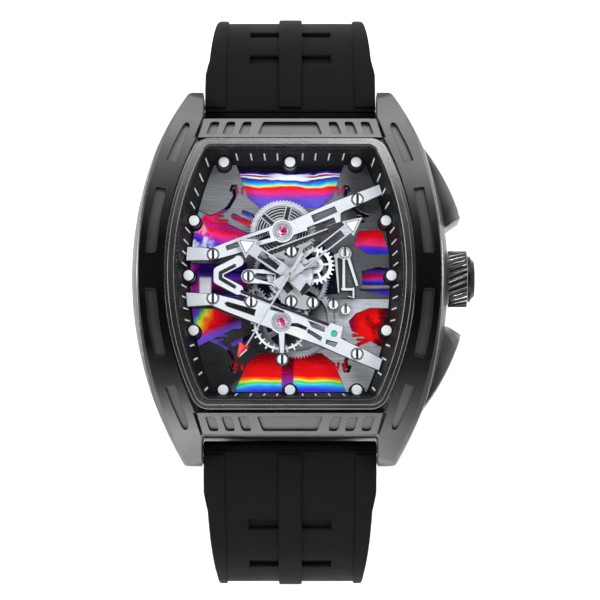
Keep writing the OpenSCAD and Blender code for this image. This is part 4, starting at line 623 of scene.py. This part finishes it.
def gunmetal_highlight_rim(s):
    """Brighter edge of the coated metal: a painted highlight on the broken edges."""
    return polished_metal("gunmetal_edge", scaled(s.gunmetal, 2.6), rough=0.25)


def turned_steel():
    """Bright steel of stems, bars and screws."""
    return polished_metal("steel_turned", (0.6, 0.6, 0.62))


def seal_black():
    """Black rubber of the seals."""
    return matt_paint("seal_black", (0.008, 0.008, 0.008), rough=0.6)


def ink_black():
    """Flat black of print, and of painted shade in open places."""
    return matt_paint("ink_black", (0.01, 0.01, 0.01), rough=0.5)


def bridge_line():
    """Dark line round the bridges and screws: painted shade along their broken edges."""
    return polished_metal("bridge_line", (0.05, 0.05, 0.052), metallic=0.6, rough=0.3)


def bridge_side():
    """Shadowed sides of the bridges and screws."""
    return matt_paint("bridge_side", (0.006, 0.006, 0.006), sheen=0.2)


# Making pieces

def cad_shape(node):
    """A welded copy of a CAD node's mesh."""
    bm = bmesh.new()
    bm.from_mesh(frame["nodes"][node].data)
    bmesh.ops.remove_doubles(bm, verts=bm.verts[:], dist=2e-7)
    return bm


def break_edges(bm, width, segments, least):
    """Bevels the outward edges of a shape and returns the new faces."""
    if width <= 0:
        return []
    edges = [e for e in bm.edges if len(e.link_faces) == 2 and e.is_convex
             and math.degrees(e.calc_face_angle(0)) > least and e.calc_length() > 1e-6]
    if not edges:
        return []
    made = bmesh.ops.bevel(bm, geom=edges, offset=width, offset_type="OFFSET", segments=segments,
                           profile=0.5, affect="EDGES", material=-1, clamp_overlap=False)
    return [f for f in made["faces"] if f.is_valid]


def piece(name, bm, finishes, body, stands_for=(), smooth=32.0):
    """Makes an object from a bmesh, gives it its finishes and its body."""
    mesh = bpy.data.meshes.new(name)
    bm.to_mesh(mesh)
    bm.free()
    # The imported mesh's own shading doesn't fit the new faces
    for layer in ("custom_normal", "sharp_edge"):
        if layer in mesh.attributes:
            mesh.attributes.remove(mesh.attributes[layer])
    for finish in finishes:
        mesh.materials.append(finish)
    mesh.polygons.foreach_set("use_smooth", [True] * len(mesh.polygons))
    mesh.set_sharp_from_angle(angle=math.radians(smooth))
    made = bpy.data.objects.new(name, mesh)
    bpy.context.scene.collection.objects.link(made)
    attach(made, body)
    if stands_for:
        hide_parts(*stands_for)
    return made


def grouped(todo, near):
    """Splits a set into groups of neighbours."""
    groups = []
    while todo:
        stack = [todo.pop()]
        group = []
        while stack:
            one = stack.pop()
            group.append(one)
            for other in near(one):
                if other in todo:
                    todo.discard(other)
                    stack.append(other)
        groups.append(group)
    return groups


def level_regions(bm):
    """Up-facing faces in groups that steps or walls part, the largest group first."""
    def near(f):
        return [g for e in f.edges if e.calc_face_angle(3) < 0.35 for g in e.link_faces]

    groups = grouped({f for f in bm.faces if f.normal.z > 0.6}, near)
    return sorted(groups, key=lambda g: -sum(f.calc_area() for f in g))


def dress(node, main, edge=None, side=None, width=0.0, segments=1, least=28.0, top=0.6, floor=None):
    """A copy of a CAD node with a finish for its face, broken edges, sides and recess floors."""
    low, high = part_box(node)
    # A narrower edge where the full one doesn't fit the shape
    for share in (1, 0.5, 0):
        bm = cad_shape(node)
        fresh = set(break_edges(bm, width * share, segments, least))
        if max(max(low[i] - v.co[i], v.co[i] - high[i]) for v in bm.verts for i in range(3)) < 1e-5:
            break
        bm.free()
    finishes = [main]
    bm.normal_update()
    if edge:
        finishes.append(edge)
        for f in fresh:
            f.material_index = 1
    if side:
        finishes.append(side)
        for f in bm.faces:
            if f not in fresh and f.normal.z < top:
                f.material_index = len(finishes) - 1
    if floor:
        finishes.append(floor)
        for group in level_regions(bm)[1:]:
            for f in group:
                f.material_index = len(finishes) - 1
    return piece(node + "_finished", bm, finishes, BODY_OF[node], [node])


def plain(node, finish):
    """Gives a CAD node that stays its finish."""
    made = frame["nodes"][node]
    made.data.materials.clear()
    made.data.materials.append(finish)
    return made


def prism(bm, points, z0, z1):
    """Adds a closed prism over a polygon given in millimetres."""
    verts = [bm.verts.new((x * MM, y * MM, z0 * MM)) for x, y in points]
    face = bm.faces.new(verts)
    face.normal_update()
    if face.normal.z > 0:
        face.normal_flip()
    made = bmesh.ops.extrude_face_region(bm, geom=[face])
    up = [v for v in made["geom"] if isinstance(v, bmesh.types.BMVert)]
    bmesh.ops.translate(bm, verts=up, vec=(0, 0, (z1 - z0) * MM))
    return up


def ribbon(bm, points, width, z0, z1):
    """Adds a closed strip of even width along a line given in millimetres."""
    line = [Vector(q) for q in points]
    left, right = [], []
    for i, q in enumerate(line):
        first = max(i - 1, 0)
        ways = [(b - a).normalized() for a, b in zip(line[first:i + 1], line[first + 1:i + 2])]
        way = sum(ways, Vector((0, 0))).normalized()
        out = Vector((-way.y, way.x)) * (width / 2 / max(way.dot(ways[0]), 0.4))
        left.append(q + out)
        right.append(q - out)
    prism(bm, [tuple(q) for q in left + right[::-1]], z0, z1)


def disc(bm, x, y, z0, z1, r, sides=32):
    """Adds a closed round plate."""
    bmesh.ops.create_cone(bm, cap_ends=True, segments=sides, radius1=r * MM, radius2=r * MM,
                          depth=(z1 - z0) * MM,
                          matrix=Matrix.Translation((x * MM, y * MM, (z0 + z1) / 2 * MM)))


def turned(bm, profile, x, y, sides):
    """Adds a turned shape from a closed profile of radius and height."""
    verts = [bm.verts.new(((x + r) * MM, y * MM, z * MM)) for r, z in profile]
    edges = [bm.edges.new((a, b)) for a, b in zip(verts, verts[1:] + verts[:1])]
    bmesh.ops.spin(bm, geom=verts + edges, cent=(x * MM, y * MM, 0), axis=(0, 0, 1), angle=2 * math.pi,
                   steps=sides, use_merge=True)
    bmesh.ops.remove_doubles(bm, verts=bm.verts[:], dist=1e-8)
    bmesh.ops.recalc_face_normals(bm, faces=bm.faces[:])


def top_of(node):
    """Height in millimetres of a node's highest point."""
    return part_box(node)[1].z / MM


def washer(bm, x, y, r0, r1, z0, z1):
    """Adds a flat ring."""
    turned(bm, [(r0, z0), (r1, z0), (r1, z1), (r0, z1)], x, y, 64)


def parts_middle(node):
    """Middles in millimetres of a node's separate solids, from high y to low y."""
    bm = cad_shape(node)
    found = []
    for solid in grouped(set(bm.verts), lambda v: [e.other_vert(v) for e in v.link_edges]):
        found.append(tuple((min(v.co[i] for v in solid) + max(v.co[i] for v in solid)) / 2 / MM
                           for i in (0, 1)))
    bm.free()
    return sorted(found, key=lambda q: -q[1])


class WatchJob:
    """Shared by all operators: each finishes or raises."""
    bl_options = {"REGISTER", "UNDO"}


# Stage

def lay_floor(scene, colour):
    """A plain floor under the strap."""
    p = Paint("floor_paper")
    grain = p.noise(p.placed((30, 30, 30)))
    tone = p.mix(p.ramp_value(grain, 0.3, 0.7), scaled(colour, 0.995), tuple(colour))
    bm = bmesh.new()
    bmesh.ops.create_grid(bm, x_segments=1, y_segments=1, size=3.0,
                          matrix=Matrix.Translation((0, 0, CAD_BOX[0].z)))
    mesh = bpy.data.meshes.new("floor")
    bm.to_mesh(mesh)
    bm.free()
    mesh.materials.append(p.finish(tone, Roughness=0.8))
    floor = bpy.data.objects.new("floor", mesh)
    scene.collection.objects.link(floor)


def light_sky(scene):
    """A sky that is white at the horizon and dark above, for soft reflections."""
    world = bpy.data.worlds.new("sky")
    world.use_nodes = True
    scene.world = world
    sky = Nodes(world.node_tree)
    height = sky.xyz(sky.node("ShaderNodeTexCoord", out="Generated"))[2]
    light = sky.ramp(height, [(place, (v, v, v)) for place, v in (
        (0.0, 0.8), (0.25, 0.8), (0.55, 0.5), (0.8, 0.2), (0.92, 0.05), (1.0, 0.015))])
    sky.output(sky.node("ShaderNodeBackground", None, [light, 1.0]), "ShaderNodeOutputWorld")


def hang_lamp(scene, name, place, size, watts):
    """A soft box aimed at the dial."""
    data = bpy.data.lights.new(name, "AREA")
    data.shape = "RECTANGLE"
    data.size = size[0]
    data.size_y = size[1]
    data.energy = watts
    made = bpy.data.objects.new(name, data)
    made.location = place
    made.rotation_euler = (-Vector(place)).to_track_quat("-Z", "Y").to_euler()
    scene.collection.objects.link(made)


def aim_camera(scene, elevation, distance):
    """Places the camera from where the photograph shows the dial's middle."""
    data = bpy.data.cameras.new("camera")
    data.sensor_width = 36.0
    data.lens = 36.0 * (DOTS_PER_MM / MM / PICTURE_WIDTH) * distance
    data.clip_start = 0.01
    data.clip_end = 20
    camera = bpy.data.objects.new("camera", data)
    back = Vector((0, -math.cos(elevation), math.sin(elevation)))
    up = Vector((0, math.sin(elevation), math.cos(elevation)))
    across = Vector((DIAL_LEFT, 0, 0)) / DOTS_PER_MM * MM
    aim = Vector((0, 0, DIAL_Z)) + across - up * (DIAL_ABOVE / DOTS_PER_MM * MM)
    camera.location = aim + back * distance
    camera.rotation_euler = (-back).to_track_quat("-Z", "Y").to_euler()
    scene.collection.objects.link(camera)
    scene.camera = camera


class WATCH_OT_stage(WatchJob, bpy.types.Operator):
    """Makes the floor, the sky, the lamps and the camera."""
    bl_idname = "watch.stage"
    bl_label = "Stage"

    def execute(self, context):
        scene = context.scene
        s = scene.watch_stage
        lay_floor(scene, s.floor_colour)
        light_sky(scene)
        for name, place, size, watts in BOX_LAMPS:
            hang_lamp(scene, name, place, size, watts * s.lamp_power)
        for i, place in enumerate(HIGH_LAMPS):
            hang_lamp(scene, "high_%d" % i, place, HIGH_SIZE, HIGH_WATTS * s.lamp_power)
        aim_camera(scene, s.elevation, s.distance)
        scene.view_settings.view_transform = "Standard"
        scene.view_settings.look = "None"
        return {"FINISHED"}


# The watch, one operator a group of pieces

class WATCH_OT_case(WatchJob, bpy.types.Operator):
    """Finishes the middle case, rails, end plates, bezel and seals."""
    bl_idname = "watch.case"
    bl_label = "Case"

    def execute(self, context):
        s = context.scene.watch_metal
        # Painted highlight: the case's broken edges get a brighter metal
        rim = gunmetal_highlight_rim(s)
        dress("mid_case", blasted_metal("gunmetal_satin", tuple(s.gunmetal), rough=0.38),
              rim, width=s.edge, segments=2)
        # Painted shade: the rails' and covers' walls are painted near black
        wall_shade = matt_paint("recess_wall", (0.006, 0.006, 0.006), rough=0.4)
        # Rails and pocket floors painted darker halfway along: painted shade for the dark reflection of
        # their middles
        rail = blasted_metal("rail_satin", scaled(s.gunmetal, 0.9), rough=0.3, middle=0.22)
        pocket = blasted_metal("pocket_floor", scaled(s.gunmetal, 1.25), rough=0.5, middle=0.4)
        for node in ("left_rail", "right_rail"):
            dress(node, rail, rim, wall_shade, width=0.04 * MM, top=0.35, floor=pocket)
        cover = brushed_metal("cover_grey", tuple(s.plate_grey), rough=0.4, streak=0.06 * MM, spread=0.12,
                              depth=0.12)
        window = brushed_metal("window_floor", tuple(s.plate_grey), rough=0.45, spread=0.1)
        for node in ("end_plate_12", "end_plate_6"):
            dress(node, cover, rim, wall_shade, width=0.03 * MM, top=0.35, floor=window)
        ring = blasted_metal("bezel_grey", scaled(s.plate_grey, 1.4), rough=0.27, depth=0.08)
        dress("bezel", ring, rim, width=0.1 * MM)
        plain("crystal_gasket", seal_black())
        plain("movement_ring", matt_paint("inner_black", (0.012, 0.012, 0.013), rough=0.45))
        plain("crown_tube", turned_steel())
        return {"FINISHED"}


class WATCH_OT_controls(WatchJob, bpy.types.Operator):
    """Finishes the crown, its stem and the two pushers."""
    bl_idname = "watch.controls"
    bl_label = "Crown and pushers"

    def execute(self, context):
        s = context.scene.watch_metal
        shiny = polished_metal("crown_dark", scaled(s.gunmetal, 0.35), rough=0.2)
        streak = polished_metal("crown_streak", (0.3, 0.3, 0.31), rough=0.2)
        crown = dress("crown", shiny, streak, width=0.05 * MM)
        crown.data.materials.append(blasted_metal("crown_cap", scaled(s.gunmetal, 0.2), rough=0.35))
        for f in crown.data.polygons:
            if f.center.x > CROWN_CAP_X * MM:
                f.material_index = 2
        wedge = blasted_metal("pusher_satin", scaled(s.gunmetal, 1.15), rough=0.34)
        for node in ("pusher_2", "pusher_4"):
            dress(node, wedge, gunmetal_highlight_rim(s), width=0.12 * MM, segments=2)
        plain("winding_stem", turned_steel())
        plain("setting_yoke", turned_steel())
        plain("crown_gasket", seal_black())
        return {"FINISHED"}


class WATCH_OT_dial_ring(WatchJob, bpy.types.Operator):
    """Finishes the sloping chapter ring, ticks, studs and dots."""
    bl_idname = "watch.dial_ring"
    bl_label = "Chapter ring"

    def execute(self, context):
        s = context.scene.watch_dial
        black = matt_paint("ring_black", (0.011, 0.011, 0.0112), rough=0.5, sheen=0.05)
        grey = matt_paint("ring_edge", (0.035, 0.035, 0.036), rough=0.35, sheen=0.3)
        stud = matt_paint("stud_black", (0.004, 0.004, 0.004), rough=0.3, sheen=0.25)
        lume = matt_paint("lume_white", tuple(s.lume), rough=0.5)
        dress("chapter_ring", black, grey, width=0.03 * MM)
        dress("minute_ticks", matt_paint("print_white", (0.92, 0.92, 0.9), rough=0.6))
        dress("hour_studs", stud, grey, width=0.04 * MM)
        dress("lume_dots", lume, lume, width=0.12 * MM, segments=3)
        return {"FINISHED"}


class WATCH_OT_crystal(WatchJob, bpy.types.Operator):
    """Finishes the two crystals."""
    bl_idname = "watch.crystal"
    bl_label = "Crystals"

    def execute(self, context):
        clear = clear_crystal("sapphire_clear")
        dress("crystal", clear)
        plain("back_crystal", clear)
        return {"FINISHED"}


class WATCH_OT_plates(WatchJob, bpy.types.Operator):
    """Finishes the film, the main plate, the balance cock and the automatic bridge."""
    bl_idname = "watch.plates"
    bl_label = "Plates"

    def execute(self, context):
        s = context.scene.watch_dial
        dress("film_plate", film_colours("film_bands", s.film_painted_glow))
        # Painted shade: the main plate's sides are painted dark
        dress("main_plate", plate_metal("plate_brushed"),
              polished_metal("plate_edge", (0.55, 0.55, 0.56), rough=0.25),
              matt_paint("plate_side", (0.03, 0.03, 0.032)), width=0.05 * MM)
        steel = brushed_metal("cock_steel", (0.5, 0.5, 0.52), metallic=0.6)
        plain("balance_cock", steel)
        plain("automatic_bridge", steel)
        return {"FINISHED"}


class WATCH_OT_wheels(WatchJob, bpy.types.Operator):
    """Finishes the wheels, balance, fork and springs and draws the barrel's open face."""
    bl_idname = "watch.wheels"
    bl_label = "Wheels"

    def execute(self, context):
        bright = brushed_metal("wheel_bright", (0.92, 0.92, 0.93), metallic=0.1, rough=0.3)
        grey = brushed_metal("wheel_grey", (0.5, 0.5, 0.51), metallic=0.3, rough=0.35)
        shadow = matt_paint("wheel_side", (0.012, 0.012, 0.012))
        for node in ("barrel", "minute_wheel", "hour_wheel", "balance_wheel"):
            dress(node, bright, None, shadow)
        for node in ("third_wheel", "centre_wheel", "fourth_wheel", "escape_wheel", "pallet_fork"):
            dress(node, grey, None, shadow)
        plain("mainspring", bright)
        plain("hairspring", polished_metal("spring_blue", (0.1, 0.14, 0.4)))
        self.draw_barrel()
        return {"FINISHED"}

    def draw_barrel(self):
        """A black disc of painted shade under the spring's coils, the hub, two rims and spokes whose slots
        are painted black as shade.
        """
        x, y = parts_middle("barrel")[0]
        top = top_of("barrel")
        well_shade, lines, slots = bmesh.new(), bmesh.new(), bmesh.new()
        foot, rise = BARREL_WELL_SHADE_Z
        washer(well_shade, x, y, *BARREL_WELL_SHADE, top + foot, top + rise)
        for r0, r1 in [(r, r + COIL_W) for r in BARREL_COILS] + list(BARREL_RIMS):
            washer(lines, x, y, r0, r1, top - SINK, top + BARREL_LINE_H)
        washer(lines, x, y, *BARREL_HUB, top - SINK, top + BARREL_HUB_H)
        for turn in BARREL_SPOKES:
            way = Vector((math.cos(math.radians(turn)), math.sin(math.radians(turn))))
            for bm, (r0, r1, width, rise) in ((lines, SPOKE), (slots, SPOKE_SLOT)):
                ribbon(bm, [Vector((x, y)) + way * r for r in (r0, r1)], width, top - SINK, top + rise)
        grey = brushed_metal("barrel_grey", (0.62, 0.62, 0.63), metallic=0.2, rough=0.3)
        piece("barrel_well_shade", well_shade, [ink_black()], "barrel")
        piece("barrel_lines", lines, [grey], "barrel")
        piece("barrel_slot_shades", slots, [ink_black()], "barrel")


class WATCH_OT_bridges(WatchJob, bpy.types.Operator):
    """Finishes the bright bridges and the setting spring and adds their bands of painted shade, rails of
    painted highlight and inlays.
    """
    bl_idname = "watch.bridges"
    bl_label = "Bridges"

    def execute(self, context):
        s = context.scene.watch_dial
        self.lay_bands(top_of("balance_bridge"))
        for node, turn, share in (("barrel_bridge", 1.2, 0.97), ("balance_bridge", 1.9, 0.97),
                                  ("train_bridge", 0.5, 0.55), ("chevron_bridge", 0.3, 0.97),
                                  ("setting_spring", 1.4, 0.97)):
            face = brushed_metal("brushed_" + node, scaled(s.bridge, share), metallic=0.2, rough=0.32,
                                 turn=turn, streak=0.07 * MM, spread=0.08)
            dress(node, face, bridge_line(), bridge_side(), width=s.edge)
        return {"FINISHED"}

    def lay_bands(self, top):
        """Black bands of painted shade, a bright rail of painted highlight beside each band on the bridges,
        the cream block and the green stone.
        """
        bands, rails, block, stone = bmesh.new(), bmesh.new(), bmesh.new(), bmesh.new()
        # Painted shade at the bridges' edges, each with a painted highlight beside it
        for a, b, lift in BRIDGE_SHADE_BANDS:
            run = Vector(b) - Vector(a)
            out = Vector((-run.y, run.x)).normalized() * lift
            ribbon(bands, [a, b], SHADE_BAND_W, top - SINK, top + BAND_H)
            ribbon(rails, [Vector(a) + out, Vector(b) + out], HIGHLIGHT_RAIL_W, top - SINK, top + HIGHLIGHT_RAIL_H)
        # Painted shade: the chevron's groove filled with black
        foot, rise = CHEVRON_GROOVE_SHADE_Z
        ribbon(bands, CHEVRON_GROOVE_SHADE, CHEVRON_GROOVE_SHADE_W, top + foot, top + rise)
        prism(block, CREAM_BLOCK, top - SINK, top + BAND_H)
        foot, rise = GREEN_STONE_Z
        disc(stone, *GREEN_STONE, top + foot, top + rise, GREEN_STONE_R)
        # Painted highlight: the bright finish of the rails
        edge = polished_metal("bridge_edge", (0.93, 0.93, 0.94), metallic=0.3, rough=0.2)
        cream = matt_paint("cream", (0.8, 0.76, 0.68), rough=0.4)
        green = matt_paint("green_stone", (0.02, 0.55, 0.35), rough=0.15)
        piece("shade_bands", bands, [ink_black()], "case")
        piece("band_highlight_rails", rails, [edge], "case")
        piece("cream_block", block, [cream], "case")
        piece("green_stone", stone, [green], "case")


class WATCH_OT_jewels_and_screws(WatchJob, bpy.types.Operator):
    """Finishes the jewels and screws and adds settings, and black strips and sheets of painted shade in the
    screw slots and the centre bridge's gaps.
    """
    bl_idname = "watch.jewels_and_screws"
    bl_label = "Jewels and screws"

    def execute(self, context):
        # Painted shade: black sheets laid on the centre bridge where its gaps are
        gaps = bmesh.new()
        top = top_of("train_bridge")
        for gap in TRAIN_BRIDGE_GAP_SHADES:
            prism(gaps, gap, top - SINK, top + GAP_SHADE_H)
        piece("train_bridge_gap_shades", gaps, [ink_black()], "case")
        dress("jewels", ruby_glass("ruby_red", (0.72, 0.03, 0.18)))
        grey = polished_metal("setting_grey", (0.42, 0.42, 0.44), metallic=0.4, rough=0.3)
        top = top_of("barrel_bridge")
        for name, (x, y) in zip(("barrel_jewel_setting", "balance_jewel_setting"), parts_middle("jewels")):
            bm = bmesh.new()
            turned(bm, [(JEWEL_R + r, top + z) for r, z in JEWEL_SETTING], x, y, 48)
            piece(name, bm, [grey], "case")
        # Painted shade: black strips in the screws' slots
        slots = bmesh.new()
        top = top_of("bridge_screws")
        foot, rise = SLOT_Z
        for x, y in parts_middle("bridge_screws"):
            ribbon(slots, [(x, y - SLOT_HALF), (x, y + SLOT_HALF)], SLOT_W, top + foot, top + rise)
        piece("screw_slot_shades", slots, [ink_black()], "case")
        bright = brushed_metal("screw_bright", (0.85, 0.85, 0.86), metallic=0.0, rough=0.4)
        dress("bridge_screws", bright, bridge_line(), bridge_side(), width=0.07 * MM)
        return {"FINISHED"}


class WATCH_OT_hands(WatchJob, bpy.types.Operator):
    """Finishes the hands and adds the arrow heads' inlays and the seconds hand's hub and arrow."""
    bl_idname = "watch.hands"
    bl_label = "Hands"

    def execute(self, context):
        face = brushed_metal("hand_silver", (0.64, 0.63, 0.67), metallic=0.25, rough=0.3, turn=0.9,
                             spread=0.06)
        side = matt_paint("hand_side", (0.02, 0.02, 0.021))
        edge = polished_metal("hand_edge", (0.08, 0.08, 0.085), metallic=0.5)
        for node in ("hour_hand", "minute_hand"):
            dress(node, face, edge, side, width=0.06 * MM)
        dress("seconds_hand", face, None, side)
        for head in ARROW_HEADS:
            self.fill_head(*head)
        top = top_of("seconds_hand")
        hub = bmesh.new()
        foot, rise = SECONDS_HUB_Z
        disc(hub, 0, 0, top + foot, top + rise, SECONDS_HUB_R, 24)
        gold = matt_paint("hub_gold", (0.25, 0.16, 0.05), rough=0.3)
        piece("seconds_hub", hub, [gold], "seconds")
        self.add_arrow(top)
        return {"FINISHED"}

    def fill_head(self, name, body, angle, width, height, tip):
        """A black border and a white inlay about the middle of the arrow head's inner circle."""
        inner = width * height / (width + 2 * math.hypot(width / 2, height))
        c = math.cos(math.radians(angle))
        n = math.sin(math.radians(angle))
        z = top_of(name + "_hand") - SINK
        white = matt_paint("inlay_white", (0.93, 0.93, 0.93), rough=0.4)
        for part, (share, rise), finish, slot in (
                ("border", HEAD_BORDER, ink_black(), "black_plastic"),
                ("inlay", HEAD_INLAY, white, "white_print")):
            y0 = tip - height + inner * (1 - share)
            corners = [(-width / 2 * share, y0), (width / 2 * share, y0), (0, y0 + height * share)]
            bm = bmesh.new()
            prism(bm, [(x * c + y * n, y * c - x * n) for x, y in corners], z, z + rise)
            piece(name + "_" + part, bm, [finish], body)

    def add_arrow(self, top):
        """The red arrow, a low pyramid."""
        foot, rise = SECONDS_ARROW_Z
        bm = bmesh.new()
        ring = [bm.verts.new((x * MM, y * MM, (top + foot) * MM)) for x, y in SECONDS_ARROW]
        x, y = SECONDS_PEAK
        peak = bm.verts.new((x * MM, y * MM, (top + rise) * MM))
        for a, b in zip(ring, ring[1:] + ring[:1]):
            bm.faces.new((a, b, peak))
        bm.faces.new(ring[::-1])
        bmesh.ops.recalc_face_normals(bm, faces=bm.faces[:])
        red = matt_paint("arrow_red", (0.8, 0.006, 0.01), rough=0.3)
        piece("seconds_arrow", bm, [red], "seconds", smooth=10)


class WATCH_OT_strap(WatchJob, bpy.types.Operator):
    """Finishes both strap halves and the keepers."""
    bl_idname = "watch.strap"
    bl_label = "Strap"

    def execute(self, context):
        s = context.scene.watch_strap
        rubber = moulded_rubber("strap_rubber", tuple(s.rubber), s.grain)
        for node in ("strap_12", "strap_6"):
            dress(node, rubber, width=s.edge, segments=2, least=40)
        for node in ("fixed_keeper", "sliding_keeper"):
            dress(node, rubber, width=s.edge, segments=3)
        return {"FINISHED"}


class WATCH_OT_buckle(WatchJob, bpy.types.Operator):
    """Finishes the spring bars and the buckle."""
    bl_idname = "watch.buckle"
    bl_label = "Buckle"

    def execute(self, context):
        s = context.scene.watch_metal
        dark = blasted_metal("buckle_satin", scaled(s.gunmetal, 1.4), rough=0.33)
        dress("buckle_frame", dark, gunmetal_highlight_rim(s), width=0.1 * MM, segments=2)
        dress("buckle_tongue", dark, gunmetal_highlight_rim(s), width=0.08 * MM)
        plain("buckle_bar", turned_steel())
        plain("spring_bars", turned_steel())
        return {"FINISHED"}


class WATCH_OT_back(WatchJob, bpy.types.Operator):
    """Finishes the case back, its screws and seal, and the rotor."""
    bl_idname = "watch.back"
    bl_label = "Back and rotor"

    def execute(self, context):
        steel = turned_steel()
        back = brushed_metal("back_brushed", (0.3, 0.3, 0.31), rough=0.34, streak=0.08 * MM, spread=0.12)
        rotor = brushed_metal("rotor_brushed", (0.55, 0.55, 0.57), rough=0.3, streak=0.1 * MM)
        dress("case_back", back, steel, width=0.12 * MM, segments=2)
        dress("case_back_screws", steel, steel, width=0.05 * MM)
        plain("case_back_gasket", seal_black())
        dress("rotor", rotor, steel, width=0.08 * MM)
        dress("rotor_bearing", steel, steel, width=0.06 * MM)
        return {"FINISHED"}


class WATCH_PT_panel(bpy.types.Panel):
    """Lists the steps and their settings."""
    bl_label = "Wristwatch"
    bl_idname = "WATCH_PT_panel"
    bl_space_type = "VIEW_3D"
    bl_region_type = "UI"
    bl_category = "Watch"

    def draw(self, context):
        for job in JOBS:
            self.layout.operator("watch." + job)
        for name in GROUPS:
            group = getattr(context.scene, name)
            box = self.layout.box()
            for key in group.bl_rna.properties.keys():
                if key not in ("rna_type", "name"):
                    box.prop(group, key)


GROUPS = {"watch_stage": WatchStage, "watch_metal": WatchMetal, "watch_dial": WatchDial,
          "watch_strap": WatchStrap}
CLASSES = [*GROUPS.values(), *WatchJob.__subclasses__(), WATCH_PT_panel]


def register():
    for c in CLASSES:
        bpy.utils.register_class(c)
    for name, group in GROUPS.items():
        setattr(bpy.types.Scene, name, bpy.props.PointerProperty(type=group))


def unregister():
    for name in GROUPS:
        delattr(bpy.types.Scene, name)
    for c in reversed(CLASSES):
        bpy.utils.unregister_class(c)


def main():
    register()
    for job in JOBS:
        getattr(bpy.ops.watch, job)()
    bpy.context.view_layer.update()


if __name__ == "__main__":
    main()
